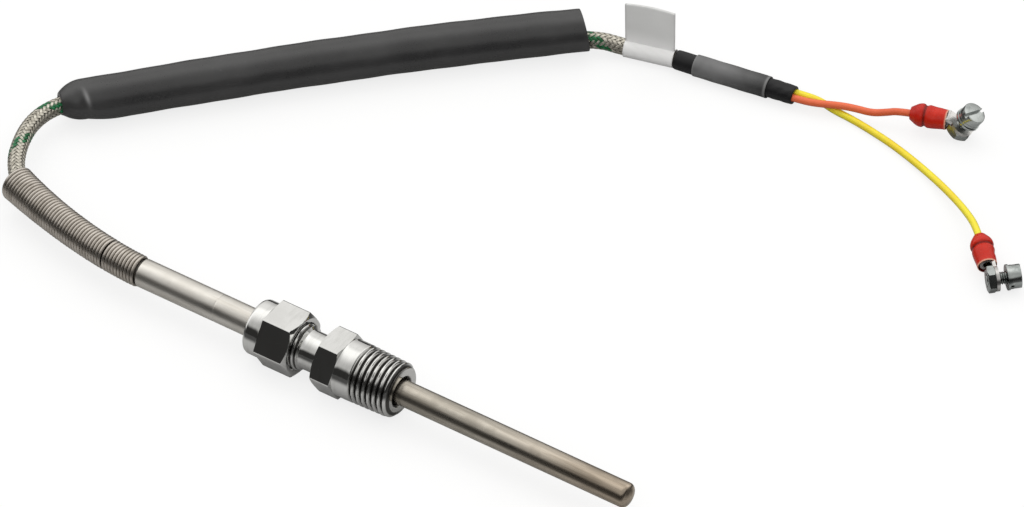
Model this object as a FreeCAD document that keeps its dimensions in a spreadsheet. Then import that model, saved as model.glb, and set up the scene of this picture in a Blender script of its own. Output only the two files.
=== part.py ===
import FreeCAD, Part
import math
import os
import re
import Sketcher

# Exhaust gas temperature sensor, in millimetres.
# +X runs along the probe towards its tip and +Z is up. The origin is on the probe's axis, at the end face
# of the pipe thread. The sensor lies on its hexagon flats, so the surface below it is half a hexagon down.

SIZES = {
    # probe sheath and what it holds
    "sheath_od": 6.0,
    "sheath_wall": 0.8,
    "sheath_reach": 62.5,
    "tip_wall": 1.2,
    "tip_rounding": 1.1,
    "sheath_root_od": 5.4,
    "sheath_root_length": 12.0,
    "wire_od": 0.9,
    "wire_spacing": 1.9,
    "wire_hole_gap": 0.05,
    "junction_od": 3.2,
    "junction_length": 1.4,
    "end_seal_length": 3.0,
    "packing_gap": 0.05,
    # back tube and its potting
    "tube_od": 6.8,
    "tube_wall": 0.65,
    "tube_free_length": 31.8,
    "tube_end_wall": 1.0,
    "potting_length": 14.6,
    "spigot_od": 5.5,
    "spigot_length": 4.1,
    # fitting body
    "thread_length": 11.2,
    "thread_end_od": 13.2,
    "thread_taper_ratio": 16.0,
    "thread_chamfer": 0.9,
    "thread_depth": 0.92,
    "thread_run_out": 0.423,
    "shoulder_length": 4.0,
    "shoulder_od": 13.85,
    "body_across_flats": 14.0,
    "body_hex_width": 5.1,
    "body_hex_chamfer_od": 13.4,
    "neck_od": 9.4,
    "neck_length": 5.0,
    "stem_od": 11.1,
    "stem_length": 9.2,
    "stem_chamfer": 0.6,
    "seat_mouth_od": 9.7,
    "seat_depth": 3.9,
    "running_gap": 0.05,
    # compression nut and ferrules
    "nut_across_flats": 14.0,
    "nut_length": 12.2,
    "nut_gap": 7.1,
    "nut_nose_od": 12.4,
    "nut_nose_length": 1.5,
    "nut_hex_chamfer": 0.6,
    "collar_od": 13.3,
    "collar_length": 4.6,
    "collar_rounding": 0.6,
    "stem_gap": 0.1,
    "ferrule_back_length": 1.5,
    "ferrule_back_od": 8.8,
    "ferrule_collar_length": 1.3,
    "ferrule_collar_od": 9.4,
    "ferrule_nose_length": 3.0,
    "ferrule_nose_od": 7.24,
    "ferrule_space": 0.1,
    # strain relief spring
    "spring_od": 7.4,
    "spring_mouth_od": 8.0,
    "spring_wire_od": 0.85,
    "spring_straight": 7.1,
    "spring_bend_degrees": 14.46,
    "spring_bend_tangent": 3.0,
    "spring_bent_length": 34.96,
    "spring_ridge_count": 24.0,
    "spring_seat_gap": 0.1,
    # cable, leads and what is on them
    "cable_od": 3.9,
    "cable_fit": 0.1,
    "lead_od": 1.7,
    "lead_fit": 0.07,
    "lead_run_in": 2.6,
    "lead_run_out": 1.9,
    "sleeve_od": 10.4,
    "sleeve_wall": 1.0,
    "sleeve_neck_od": 5.9,
    "sleeve_neck_gap": 0.25,
    "sleeve_shrunk_length": 5.5,
    "label_wall": 0.15,
    "label_gap": 0.25,
    "label_length": 12.0,
    "label_start": 0.25,
    "label_height": 13.6,
    "label_leaf": 0.3,
    "boot_od": 4.7,
    "boot_round_length": 24.0,
    "boot_length": 29.8,
    "boot_end_width": 4.6,
    "boot_end_height": 2.7,
    "boot_start": 1.8,
    "boot_cable_depth": 7.0,
    "boot_lead_depth": 6.4,
    "lead_spacing": 2.0,
    "marker_start": 4.9,
    "marker_length": 18.4,
    "marker_wall": 0.15,
    # ring terminals and their screws
    "tongue_od": 5.8,
    "tongue_thickness": 0.8,
    "tongue_hole": 3.2,
    "tongue_root": 3.7,
    "tongue_root_width": 3.3,
    "barrel_od": 3.3,
    "barrel_bore": 1.9,
    "barrel_setback": 0.7,
    "barrel_length": 4.5,
    "insulator_length": 8.2,
    "insulator_setback": 0.8,
    "insulator_od": 5.5,
    "insulator_mouth_od": 4.4,
    "insulator_entry_od": 3.3,
    "insulator_groove_od": 4.7,
    "screw_od": 3.0,
    "screw_length": 6.0,
    "screw_head_od": 5.5,
    "screw_head_height": 2.0,
    "screw_slot_width": 0.8,
    "screw_slot_depth": 0.9,
    "screw_gap": 1.9,
    "lock_washer_od": 5.6,
    "lock_washer_thickness": 0.8,
    "lock_washer_slit": 0.6,
    "flat_washer_od": 6.0,
    "flat_washer_thickness": 0.5,
    "washer_hole": 3.2,
    "screw_nut_across": 5.5,
    "screw_nut_height": 1.8,
    "screw_nut_hole": 3.1,
    "screw_nut_space": 0.02,
}

# How many turns the pipe thread has.
THREAD_TURNS = 7

# Places along the axis and shared radii, each worked out from the sizes above.
STATIONS = {
    "sheath_r": "sheath_od / 2",
    "sheath_bore_r": "sheath_od / 2 - sheath_wall",
    "sheath_root_r": "sheath_root_od / 2",
    "core_front": "sheath_reach - tip_wall - junction_length - packing_gap",
    "core_r": "sheath_bore_r - packing_gap",
    "wire_hole_r": "wire_od / 2 + wire_hole_gap",
    "tube_r": "tube_od / 2",
    "tube_bore_r": "tube_od / 2 - tube_wall",
    "tube_fill_r": "tube_bore_r - packing_gap",
    "body_bore_r": "tube_r + running_gap",
    "thread_back_r": "thread_end_od / 2 + thread_length / thread_taper_ratio / 2",
    "thread_chamfer_r": "thread_end_od / 2 + thread_chamfer / thread_taper_ratio / 2",
    "thread_pitch": f"(thread_length - thread_chamfer - thread_run_out) / {THREAD_TURNS}",
    "hex_front": "-(thread_length + shoulder_length)",
    "hex_back": "hex_front - body_hex_width",
    "body_corner_r": "body_across_flats / sqrt(3)",
    "body_chamfer_r": "body_hex_chamfer_od / 2",
    "body_chamfer": "(body_corner_r - body_chamfer_r) * tan(30 deg)",
    "neck_back": "hex_back - neck_length",
    "stem_back": "neck_back - stem_length",
    "nut_front": "hex_back - nut_gap",
    "nut_back": "nut_front - nut_length",
    "nut_corner_r": "nut_across_flats / sqrt(3)",
    "collar_front": "nut_back + collar_length",
    "ferrule_bore_r": "tube_r + running_gap",
    "ferrule_front": "stem_back + ferrule_space + ferrule_nose_length",
    "ferrule_taper": "stem_back + ferrule_space",
    "ferrule_back": "ferrule_taper - ferrule_collar_length",
    "back_ferrule_front": "ferrule_back - ferrule_space",
    "back_ferrule_back": "back_ferrule_front - ferrule_back_length",
    "nut_seat": "back_ferrule_back - ferrule_space",
    "nut_thread_back": "stem_back - stem_chamfer - ferrule_space",
    "nut_cavity_r": "ferrule_collar_od / 2 + 2 * ferrule_space",
    "nut_tail_bore_r": "tube_r + 2 * running_gap",
    "nut_thread_r": "stem_od / 2 + stem_gap",
    "tube_back": "nut_back - tube_free_length",
    "tube_bore_back": "tube_back + tube_end_wall",
    "spigot_back": "tube_back - spigot_length",
    "cable_hole_r": "cable_od / 2 + cable_fit",
    "potting_back": "tube_bore_back + packing_gap",
    "potting_front": "potting_back + potting_length",
    "seal_front": "-(sheath_root_length + packing_gap)",
    "seal_back": "seal_front - end_seal_length",
    "bead_front": "seal_back - packing_gap",
    "bead_back": "potting_front + packing_gap",
    "wire_back": "potting_front - potting_length / 2",
}

doc = FreeCAD.newDocument("exhaust_gas_temperature_sensor")
sheet = doc.addObject("Spreadsheet::Sheet", "Sizes")
for row, (alias, number) in enumerate(SIZES.items(), start=1):
    sheet.set(f"A{row}", alias)
    sheet.set(f"B{row}", str(number))
    sheet.setAlias(f"B{row}", alias)
doc.recompute()

made = []


def expand(text):
    """An expression of size and station names, as the document's own expression."""

    def swap(match):
        word = match.group(0)
        if word in SIZES:
            return "Sizes." + word
        if word in STATIONS:
            return "(" + expand(STATIONS[word]) + ")"
        return word

    return re.sub(r"[a-z_][a-z0-9_]*", swap, text)


def size(text):
    """The number that such an expression has now."""
    return float(sheet.evalExpression(expand(text)))


def vector(*numbers):
    return FreeCAD.Vector(*numbers)


def keep(thing, label, placement=None):
    """Name a finished sub-part and put it in its place."""
    thing.Label = label
    if placement is not None:
        thing.Placement = placement
    made.append(thing)
    return thing


def frame(base, x_axis, z_axis):
    """A placement whose +X is x_axis and whose +Z is as near to z_axis as it can be."""
    turn = FreeCAD.Rotation(x_axis, FreeCAD.Vector(), z_axis, "XZY")
    return FreeCAD.Placement(base, turn)


# Sketches and turned pieces


def plane(body, role):
    return next(item for item in body.Origin.OriginFeatures if item.Role == role)


def outline(sketch, corners):
    """A closed outline whose corners are pairs of expressions, each held by its two distances."""
    places = [(size(across), size(up)) for across, up in corners]
    count = len(places)
    for index, (across, up) in enumerate(places):
        ahead = places[(index + 1) % count]
        sketch.addGeometry(Part.LineSegment(vector(across, up, 0), vector(*ahead, 0)))
    for index in range(count):
        sketch.addConstraint(Sketcher.Constraint("Coincident", index, 2, (index + 1) % count, 1))
    for index, pair in enumerate(corners):
        for kind, axis, text, number in zip(("DistanceX", "DistanceY"), (-2, -1), pair, places[index]):
            if text == "0":
                sketch.addConstraint(Sketcher.Constraint("PointOnObject", index, 1, axis))
                continue
            held = sketch.addConstraint(Sketcher.Constraint(kind, -1, 1, index, 1, number))
            sketch.setExpression(f"Constraints[{held}]", expand(text))


def new_sketch(body, name, role, offset=None):
    sketch = body.newObject("Sketcher::SketchObject", name)
    sketch.AttachmentSupport = [(plane(body, role), "")]
    sketch.MapMode = "FlatFace"
    if offset is not None:
        sketch.setExpression("AttachmentOffset.Base.z", expand(offset))
    return sketch


def turned(name, corners):
    """A body turned about the X axis, from corners given as distance along the axis and radius."""
    body = doc.addObject("PartDesign::Body", name + "_body")
    sketch = new_sketch(body, name + "_profile", "XZ_Plane")
    outline(sketch, corners)
    turn = body.newObject("PartDesign::Revolution", name + "_turned")
    turn.Profile = sketch
    turn.ReferenceAxis = (sketch, ["H_Axis"])
    turn.Angle = 360.0
    doc.recompute()
    return body


def hexagon(across):
    """Corners of a hexagon with two flats level, as expressions of its width across flats."""
    half = f"{across} / 2"
    corner = f"{across} / sqrt(3)"
    half_corner = f"{across} / sqrt(3) / 2"
    return [
        (corner, "0"),
        (half_corner, half),
        (f"-({half_corner})", half),
        (f"-({corner})", "0"),
        (f"-({half_corner})", f"-({half})"),
        (half_corner, f"-({half})"),
    ]


def mill_hexagon(body, name, across, front, back):
    """Mill six flats on a turned body, between two places along its axis."""
    before = body.Shape.Volume
    sketch = new_sketch(body, name + "_flats", "YZ_Plane", front)
    outline(sketch, hexagon(across))
    reach = sketch.addGeometry(Part.Circle(vector(0, 0, 0), vector(0, 0, 1), size(across)))
    sketch.addConstraint(Sketcher.Constraint("Coincident", reach, 3, -1, 1))
    held = sketch.addConstraint(Sketcher.Constraint("Radius", reach, size(across)))
    sketch.setExpression(f"Constraints[{held}]", expand(across))
    mill = body.newObject("PartDesign::Pocket", name + "_milled")
    mill.Profile = sketch
    mill.Type = "Length"
    mill.setExpression("Length", expand(f"({front}) - ({back})"))
    doc.recompute()
    if not body.Shape.Volume < before:
        mill.Reversed = True
        doc.recompute()
    assert body.Shape.Volume < before, name + " has no flats"


def drill_along(body, name, places, radius, front, back):
    """Holes along the axis, at offsets along Y, between two places."""
    before = body.Shape.Volume
    sketch = new_sketch(body, name + "_holes", "YZ_Plane", front)
    for place in places:
        hole = sketch.addGeometry(Part.Circle(vector(size(place), 0, 0), vector(0, 0, 1), size(radius)))
        sketch.addConstraint(Sketcher.Constraint("PointOnObject", hole, 3, -1))
        held = sketch.addConstraint(Sketcher.Constraint("DistanceX", -1, 1, hole, 3, size(place)))
        sketch.setExpression(f"Constraints[{held}]", expand(place))
        held = sketch.addConstraint(Sketcher.Constraint("Radius", hole, size(radius)))
        sketch.setExpression(f"Constraints[{held}]", expand(radius))
    drill = body.newObject("PartDesign::Pocket", name + "_drilled")
    drill.Profile = sketch
    drill.Type = "Length"
    drill.setExpression("Length", expand(f"({front}) - ({back})"))
    doc.recompute()
    if not body.Shape.Volume < before:
        drill.Reversed = True
        doc.recompute()
    assert body.Shape.Volume < before, name + " has no holes"


WIRE_PLACES = ("wire_spacing / 2", "-wire_spacing / 2")


def build_probe():
    """The closed sheath, its packed core, the two thermoelements and their welded junction."""
    sheath = turned(
        "sheath",
        [
            ("-sheath_root_length", "sheath_bore_r"),
            ("sheath_reach - tip_wall", "sheath_bore_r"),
            ("sheath_reach - tip_wall", "0"),
            ("sheath_reach", "0"),
            ("sheath_reach", "sheath_r"),
            ("0", "sheath_r"),
            ("0", "sheath_root_r"),
            ("-sheath_root_length", "sheath_root_r"),
        ],
    )
    tip = size("sheath_reach")
    rim = [
        f"Edge{index}"
        for index, edge in enumerate(sheath.Shape.Edges, start=1)
        if edge.BoundBox.XMin > tip - 1e-6 and edge.Closed
    ]
    blank = sheath.Tip
    rounding = sheath.newObject("PartDesign::Fillet", "sheath_tip")
    rounding.Base = (blank, rim)
    rounding.setExpression("Radius", expand("tip_rounding"))
    doc.recompute()
    keep(sheath, "probe_sheath")

    core = turned(
        "core",
        [
            ("-sheath_root_length", "0"),
            ("-sheath_root_length", "core_r"),
            ("core_front", "core_r"),
            ("core_front", "0"),
        ],
    )
    drill_along(core, "core", WIRE_PLACES, "wire_hole_r", "core_front", "-sheath_root_length")
    keep(core, "mineral_insulation")

    for label, place in zip(("positive_wire", "negative_wire"), WIRE_PLACES):
        wire = doc.addObject("Part::Cylinder", label)
        wire.setExpression("Radius", expand("wire_od / 2"))
        wire.setExpression("Height", expand("core_front - wire_back"))
        base = vector(size("wire_back"), size(place), 0)
        keep(wire, label, frame(base, vector(0, 0, -1), vector(1, 0, 0)))

    junction = turned(
        "junction",
        [
            ("core_front", "0"),
            ("core_front", "junction_od / 2"),
            ("core_front + junction_length / 2", "junction_od / 2"),
            ("core_front + junction_length", "junction_od / 4"),
            ("core_front + junction_length", "0"),
        ],
    )
    keep(junction, "hot_junction")


def build_back_tube():
    """The tube that the ferrules grip, with the seal, the bead and the potting inside it."""
    tube = turned(
        "tube",
        [
            ("0", "tube_bore_r"),
            ("0", "tube_r"),
            ("tube_back", "tube_r"),
            ("tube_back", "spigot_od / 2"),
            ("spigot_back", "spigot_od / 2"),
            ("spigot_back", "cable_hole_r"),
            ("tube_bore_back", "cable_hole_r"),
            ("tube_bore_back", "tube_bore_r"),
        ],
    )
    keep(tube, "back_tube")
    fills = (
        ("end_seal", "seal_front", "seal_back", "seal_back"),
        ("ceramic_bead", "bead_front", "bead_back", "bead_back"),
        ("potting_fill", "potting_front", "potting_back", "wire_back"),
    )
    for label, front, back, drilled in fills:
        fill = turned(
            label,
            [
                (back, "0"),
                (back, "tube_fill_r"),
                (front, "tube_fill_r"),
                (front, "0"),
            ],
        )
        drill_along(fill, label, WIRE_PLACES, "wire_hole_r", front, drilled)
        keep(fill, label)


def thread_rings():
    """Corners of the pipe thread on its taper: a root and a crest for each turn, as closed rings."""
    corners = []
    for turn in range(THREAD_TURNS):
        root = f"(thread_chamfer + {turn + 0.5} * thread_pitch)"
        crest = f"(thread_chamfer + {turn + 1} * thread_pitch)"
        taper = "thread_taper_ratio / 2"
        corners.append((f"-{root}", f"thread_end_od / 2 + {root} / {taper} - thread_depth"))
        corners.append((f"-{crest}", f"thread_end_od / 2 + {crest} / {taper}"))
    return corners


def build_fitting():
    """The fitting's body, nut and ferrules, all on the probe's axis."""
    body = turned(
        "fitting",
        [
            ("0", "body_bore_r"),
            ("0", "thread_end_od / 2 - thread_chamfer"),
            ("-thread_chamfer", "thread_chamfer_r"),
            *thread_rings(),
            ("-thread_length", "thread_back_r"),
            ("-thread_length", "shoulder_od / 2"),
            ("hex_front", "shoulder_od / 2"),
            ("hex_front", "max(body_chamfer_r; shoulder_od / 2 + packing_gap)"),
            ("hex_front - body_chamfer / 2", "body_corner_r"),
            ("hex_back + body_chamfer", "body_corner_r"),
            ("hex_back", "body_chamfer_r"),
            ("hex_back", "neck_od / 2"),
            ("neck_back", "neck_od / 2"),
            ("neck_back - stem_chamfer", "stem_od / 2"),
            ("stem_back + stem_chamfer", "stem_od / 2"),
            ("stem_back", "stem_od / 2 - stem_chamfer"),
            ("stem_back", "seat_mouth_od / 2"),
            ("stem_back + seat_depth", "body_bore_r"),
        ],
    )
    mill_hexagon(body, "fitting", "body_across_flats", "hex_front", "hex_back")
    keep(body, "fitting_body")

    nut = turned(
        "nut",
        [
            ("nut_back", "nut_tail_bore_r"),
            ("nut_back", "collar_od / 2 - collar_rounding"),
            ("nut_back + collar_rounding / 3", "collar_od / 2 - collar_rounding / 3"),
            ("nut_back + collar_rounding", "collar_od / 2"),
            ("collar_front", "collar_od / 2"),
            ("collar_front", "nut_across_flats / 2"),
            ("collar_front + nut_hex_chamfer", "nut_corner_r"),
            ("nut_front - nut_nose_length", "nut_corner_r"),
            ("nut_front", "nut_nose_od / 2"),
            ("nut_front", "nut_thread_r"),
            ("nut_thread_back", "nut_thread_r"),
            ("nut_thread_back", "nut_cavity_r"),
            ("nut_seat", "nut_cavity_r"),
            ("nut_seat", "nut_tail_bore_r"),
        ],
    )
    mill_hexagon(nut, "nut", "nut_across_flats", "nut_front", "collar_front")
    keep(nut, "compression_nut")

    front = turned(
        "front_ferrule",
        [
            ("ferrule_back", "ferrule_bore_r"),
            ("ferrule_back", "ferrule_collar_od / 2"),
            ("ferrule_taper", "ferrule_collar_od / 2"),
            ("ferrule_front", "ferrule_nose_od / 2"),
            ("ferrule_front", "ferrule_bore_r"),
        ],
    )
    keep(front, "front_ferrule")
    back = turned(
        "back_ferrule",
        [
            ("back_ferrule_back", "ferrule_bore_r"),
            ("back_ferrule_back", "ferrule_back_od / 2"),
            ("back_ferrule_front - ferrule_back_length / 2", "ferrule_back_od / 2"),
            ("back_ferrule_front", "ferrule_back_od / 2 - ferrule_back_length / 3"),
            ("back_ferrule_front", "ferrule_bore_r"),
        ],
    )
    keep(back, "back_ferrule")


# Routes of straight runs joined by tangent arcs


class Route:
    """A path through hand-chosen points, each corner rounded as far as its two runs allow."""

    SHARE = 0.45

    def __init__(self, points):
        self.points = [FreeCAD.Vector(*point) for point in points]
        self.radii = []
        edges = []
        last = self.points[0]
        for before, corner, after in zip(self.points, self.points[1:], self.points[2:]):
            back = (before - corner).normalize()
            ahead = (after - corner).normalize()
            half_turn = (math.pi - back.getAngle(ahead)) / 2
            shorter = min(before.distanceToPoint(corner), after.distanceToPoint(corner))
            tangent = self.SHARE * shorter
            radius = tangent / math.tan(half_turn)
            inward = (back + ahead).normalize()
            middle = corner + inward * (radius / math.cos(half_turn) - radius)
            start = corner + back * tangent
            end = corner + ahead * tangent
            edges.append(Part.LineSegment(last, start).toShape())
            edges.append(Part.Arc(start, middle, end).toShape())
            self.radii.append(radius)
            last = end
        edges.append(Part.LineSegment(last, self.points[-1]).toShape())
        self.wire = Part.Wire(edges)
        self.heading = (self.points[1] - self.points[0]).normalize()

    def pipe(self, radius):
        """A round solid of that radius along the path."""
        ring = Part.Wire(Part.Circle(self.points[0], self.heading, radius).toShape())
        return self.wire.makePipeShell([ring], True, False)

    def report(self, name, radius, solid):
        """Print the radii, and the solid's volume against its section times its length."""
        ideal = math.pi * radius**2 * self.wire.Length
        radii = " ".join(f"{value:.1f}" for value in self.radii)
        ratio = solid.Volume / ideal
        print(f"{name}: length {self.wire.Length:.1f}, volume ratio {ratio:.4f}, radii {radii}")


CABLE_POINTS = (
    (-70.5, 0.0, 0.0),
    (-78.5, 0.0, 0.0),
    (-95.0, 4.0, 0.0),
    (-110.8, 8.25, 0.0),
    (-116.3, 13.2, -0.3),
    (-120.4, 20.6, -0.8),
    (-122.8, 28.6, -1.3),
    (-122.3, 36.2, -1.8),
    (-117.6, 43.9, -1.8),
    (-106.0, 56.6, -2.6),
    (-84.0, 80.9, -3.5),
    (-60.5, 105.6, -3.6),
    (-45.5, 119.7, -3.6),
    (-34.2, 128.3, -3.7),
    (-28.0, 130.2, -4.5),
    (-17.5, 133.0, -4.45),
    (-9.0, 134.45, -4.45),
)

SLEEVE_POINTS = (
    (-121.23, 37.96, -1.8),
    (-103.0, 59.3, -1.8),
    (-77.2, 87.8, -1.8),
    (-50.0, 115.7, -1.8),
    (-37.0, 127.2, -1.8),
)

ORANGE_POINTS = (
    (19.5, 138.6, -4.2),
    (24.2, 141.0, -4.2),
    (27.8, 142.2, -4.2),
    (31.7, 142.9, -4.1),
    (34.4, 144.2, -3.6),
)

YELLOW_POINTS = (
    (18.8, 140.9, -5.3),
    (22.8, 140.7, -6.1),
    (27.6, 140.5, -6.15),
    (33.6, 139.7, -6.15),
    (41.6, 138.2, -6.15),
    (52.1, 134.9, -5.9),
    (61.3, 130.7, -4.9),
    (69.1, 125.8, -3.1),
)


def feature(label, shape, placement=None):
    """A sub-part whose shape is worked out here."""
    thing = doc.addObject("Part::Feature", label)
    thing.Shape = shape
    return keep(thing, label, placement)


def boot_frame():
    """The breakout boot's own frame: its +X runs along the cable's last stretch."""
    start = FreeCAD.Vector(*CABLE_POINTS[-2])
    heading = (FreeCAD.Vector(*CABLE_POINTS[-1]) - start).normalize()
    return frame(start + heading * size("boot_start"), heading, vector(0, 0, 1))


def boot_exit(side):
    """A lead's first two points: inside the boot's end, and a little in front of it."""
    place = boot_frame()
    across = side * size("lead_spacing / 2")
    inside = place.multVec(vector(size("boot_length - boot_lead_depth + running_gap"), across, 0))
    outside = place.multVec(vector(size("boot_length + lead_run_out"), across, 0))
    return (tuple(inside), tuple(outside))


def build_cords():
    """The braided cable and the two leads, as plain round solids along their routes."""
    orange, yellow = TERMINALS
    cords = (
        ("braided_cable", CABLE_POINTS, "cable_od / 2"),
        ("orange_lead", boot_exit(-1) + ORANGE_POINTS + orange.lead_end(), "lead_od / 2"),
        ("yellow_lead", boot_exit(1) + YELLOW_POINTS + yellow.lead_end(), "lead_od / 2"),
    )
    for label, points, radius in cords:
        for point in points[:2] + points[-2:]:
            print(label, "passes", " ".join(f"{number:.2f}" for number in point))
        route = Route(points)
        solid = route.pipe(size(radius))
        route.report(label, size(radius), solid)
        feature(label, solid)


def spring_place(distance):
    """Where the spring's axis is, and where it heads, that far from the tube's shoulder."""
    bend = math.radians(size("spring_bend_degrees"))
    tangent = size("spring_bend_tangent")
    radius = tangent / math.tan(bend / 2)
    straight = size("spring_straight") - tangent
    start = size("tube_back") - size("spring_seat_gap")
    if distance <= straight:
        return vector(start - distance, 0, 0), vector(-1, 0, 0)
    turned_by = min((distance - straight) / radius, bend)
    heading = vector(-math.cos(turned_by), math.sin(turned_by), 0)
    place = vector(start - straight - radius * math.sin(turned_by), radius * (1 - math.cos(turned_by)), 0)
    past_bend = max(distance - straight - radius * bend, 0)
    return place + heading * past_bend, heading


def spring_length():
    bend = math.radians(size("spring_bend_degrees"))
    tangent = size("spring_bend_tangent")
    arc = tangent / math.tan(bend / 2) * bend
    return size("spring_straight") + size("spring_bent_length") - 2 * tangent + arc


def spring_ring(distance, inset):
    """A ring round the spring's axis, inset from its outside, which widens towards the mouth."""
    place, heading = spring_place(distance)
    share = distance / spring_length()
    narrow = size("spring_od / 2")
    wide = size("spring_mouth_od / 2")
    radius = narrow + (wide - narrow) * share - inset
    return Part.Wire(Part.Circle(place, heading, radius).toShape())


def build_spring():
    """The close-wound spring as a ridged tube: one ridge stands for a pair of turns."""
    length = spring_length()
    ridges = int(size("spring_ridge_count"))
    wire = size("spring_wire_od")
    pitch = length / ridges
    depth = wire / 3
    rings = []
    for ridge in range(ridges):
        rings.append(spring_ring(ridge * pitch, depth))
        rings.append(spring_ring((ridge + 0.25) * pitch, 0))
        rings.append(spring_ring((ridge + 0.75) * pitch, 0))
    rings.append(spring_ring(length, depth))
    outside = Part.makeLoft(rings, True, True)
    bore_steps = ridges // 2
    bore_rings = [spring_ring(length * step / bore_steps, wire) for step in range(bore_steps + 1)]
    inside = Part.makeLoft(bore_rings, True, True)
    feature("strain_relief_spring", outside.cut(inside))


def build_sleeve():
    """The thick sleeve: full size along its route, drawn in to a neck where it is shrunk on the cable."""
    points = [FreeCAD.Vector(*point) for point in SLEEVE_POINTS]
    heading = (points[1] - points[0]).normalize()
    shrunk = size("sleeve_shrunk_length")
    outer = size("sleeve_od / 2")
    bore = outer - size("sleeve_wall")
    neck = size("sleeve_neck_od / 2")
    neck_bore = size("cable_od / 2 + sleeve_neck_gap")

    def profile(along, radius):
        return vector(along, 0, radius)

    def dome(low, high):
        """An arc that rises from the neck and runs level into the full radius."""
        rise = high - low
        bow = (shrunk**2 + rise**2) / (2 * rise)
        halfway = high - bow + math.sqrt(bow**2 - (shrunk / 2) ** 2)
        return Part.Arc(profile(0, low), profile(shrunk / 2, halfway), profile(shrunk, high)).toShape()

    edges = [
        Part.LineSegment(profile(0, neck_bore), profile(0, neck)).toShape(),
        dome(neck, outer),
        Part.LineSegment(profile(shrunk, outer), profile(shrunk, bore)).toShape(),
        dome(neck_bore, bore),
    ]
    end = Part.Face(Part.Wire(edges)).revolve(vector(0, 0, 0), vector(1, 0, 0), 360)
    end.Placement = frame(points[0], heading, vector(0, 0, 1))
    route = Route([points[0] + heading * shrunk] + points[1:])
    outside = route.pipe(outer)
    route.report("protective_sleeve", outer, outside)
    tube = outside.cut(route.pipe(bore))
    feature("protective_sleeve", Part.Solid(tube.fuse(end).removeSplitter().Solids[0]))


def build_label():
    """A film label: wrapped round the cable, its two ends stuck together as an upright flag."""
    start = FreeCAD.Vector(*CABLE_POINTS[-3])
    end = FreeCAD.Vector(*CABLE_POINTS[-2])
    heading = (end - start).normalize()
    wrap = doc.addObject("Part::Cylinder", "label_wrap")
    wrap.setExpression("Radius", expand("cable_od / 2 + label_gap + label_wall"))
    wrap.setExpression("Height", expand("label_length"))
    flag = doc.addObject("Part::Box", "label_flag")
    flag.setExpression("Length", expand("label_height"))
    flag.setExpression("Width", expand("label_leaf"))
    flag.setExpression("Height", expand("label_length"))
    flag.Placement.Base = vector(0, -size("label_leaf") / 2, 0)
    film = doc.addObject("Part::Fuse", "label_film")
    film.Base = wrap
    film.Tool = flag
    hole = doc.addObject("Part::Cylinder", "label_hole")
    hole.setExpression("Radius", expand("cable_od / 2 + label_gap"))
    hole.setExpression("Height", expand("label_length"))
    label = doc.addObject("Part::Cut", "cable_label")
    label.Base = film
    label.Tool = hole
    base = start + heading * size("label_start")
    turn = FreeCAD.Rotation(FreeCAD.Vector(0, 0, 1), FreeCAD.Vector(), heading, "ZXY")
    keep(label, "cable_label", FreeCAD.Placement(base, turn))


def build_boot():
    """The heat-shrink boot, round over the cable and pinched flat over the two leads, and its marker."""
    along = vector(1, 0, 0)
    round_length = size("boot_round_length")
    length = size("boot_length")
    radius = size("boot_od / 2")
    half_width = size("boot_end_width / 2")
    half_height = size("boot_end_height / 2")
    stations = (
        (0, radius, radius),
        (round_length, radius, radius),
        (length, half_width, half_height),
    )
    sections = []
    for place, across, up in stations:
        middle = vector(place, 0, 0)
        side = middle + vector(0, across, 0)
        top = middle + vector(0, 0, min(up, across * 0.9999))
        sections.append(Part.Wire(Part.Ellipse(side, top, middle).toShape()))
    solid = Part.makeLoft(sections, True, True)
    cable_depth = size("boot_cable_depth")
    solid = solid.cut(Part.makeCylinder(size("cable_hole_r"), cable_depth, vector(0, 0, 0), along))
    lead_depth = size("boot_lead_depth")
    for side in (-1, 1):
        base = vector(length - lead_depth, side * size("lead_spacing / 2"), 0)
        hole = Part.makeCylinder(size("lead_od / 2 + lead_fit"), lead_depth, base, along)
        solid = solid.cut(hole)
    feature("breakout_boot", solid, boot_frame())

    marker = turned(
        "marker",
        [
            ("marker_start", "boot_od / 2 + running_gap"),
            ("marker_start", "boot_od / 2 + running_gap + marker_wall"),
            ("marker_start + marker_length", "boot_od / 2 + running_gap + marker_wall"),
            ("marker_start + marker_length", "boot_od / 2 + running_gap"),
        ],
    )
    keep(marker, "marker_sleeve", boot_frame())


class Terminal:
    """Where one ring terminal is: its ring's centre, its tongue, its screw's axis and its tongue's bend."""

    def __init__(self, colour, centre, heading, dip, upright, bend, nut_turn, slot_turn):
        self.colour = colour
        self.nut_turn = nut_turn
        self.slot_turn = slot_turn
        self.centre = FreeCAD.Vector(*centre)
        turn = math.radians(heading)
        level = vector(math.cos(turn), math.sin(turn), 0)
        fall = math.radians(dip)
        self.tongue = level * math.cos(fall) - vector(0, 0, math.sin(fall))
        if upright:
            self.screw = level * math.sin(fall) + vector(0, 0, math.cos(fall))
        else:
            self.screw = vector(-math.sin(turn), math.cos(turn), 0)
        lift = math.radians(bend)
        self.barrel = self.tongue * math.cos(lift) + self.screw * math.sin(lift)
        self.barrel_up = self.screw * math.cos(lift) - self.tongue * math.sin(lift)

    def ring_frame(self):
        return frame(self.centre, self.tongue, self.screw)

    def lead_end(self):
        """The lead's last two points: one before the insulator, one at the barrel's end."""
        place = self.barrel_frame()
        entry = place.multVec(vector(-size("insulator_setback + insulator_length + lead_run_in"), 0, 0))
        end = place.multVec(vector(-size("barrel_setback + barrel_length + running_gap"), 0, 0))
        return (tuple(entry), tuple(end))

    def barrel_frame(self):
        """The barrel's own frame: its axis is +X, and 0 is where the tongue begins."""
        root = self.centre - self.tongue * size("tongue_root")
        drop = size("barrel_od / 2 - tongue_thickness / 2")
        return frame(root - self.barrel_up * drop, self.barrel, self.barrel_up)


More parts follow.
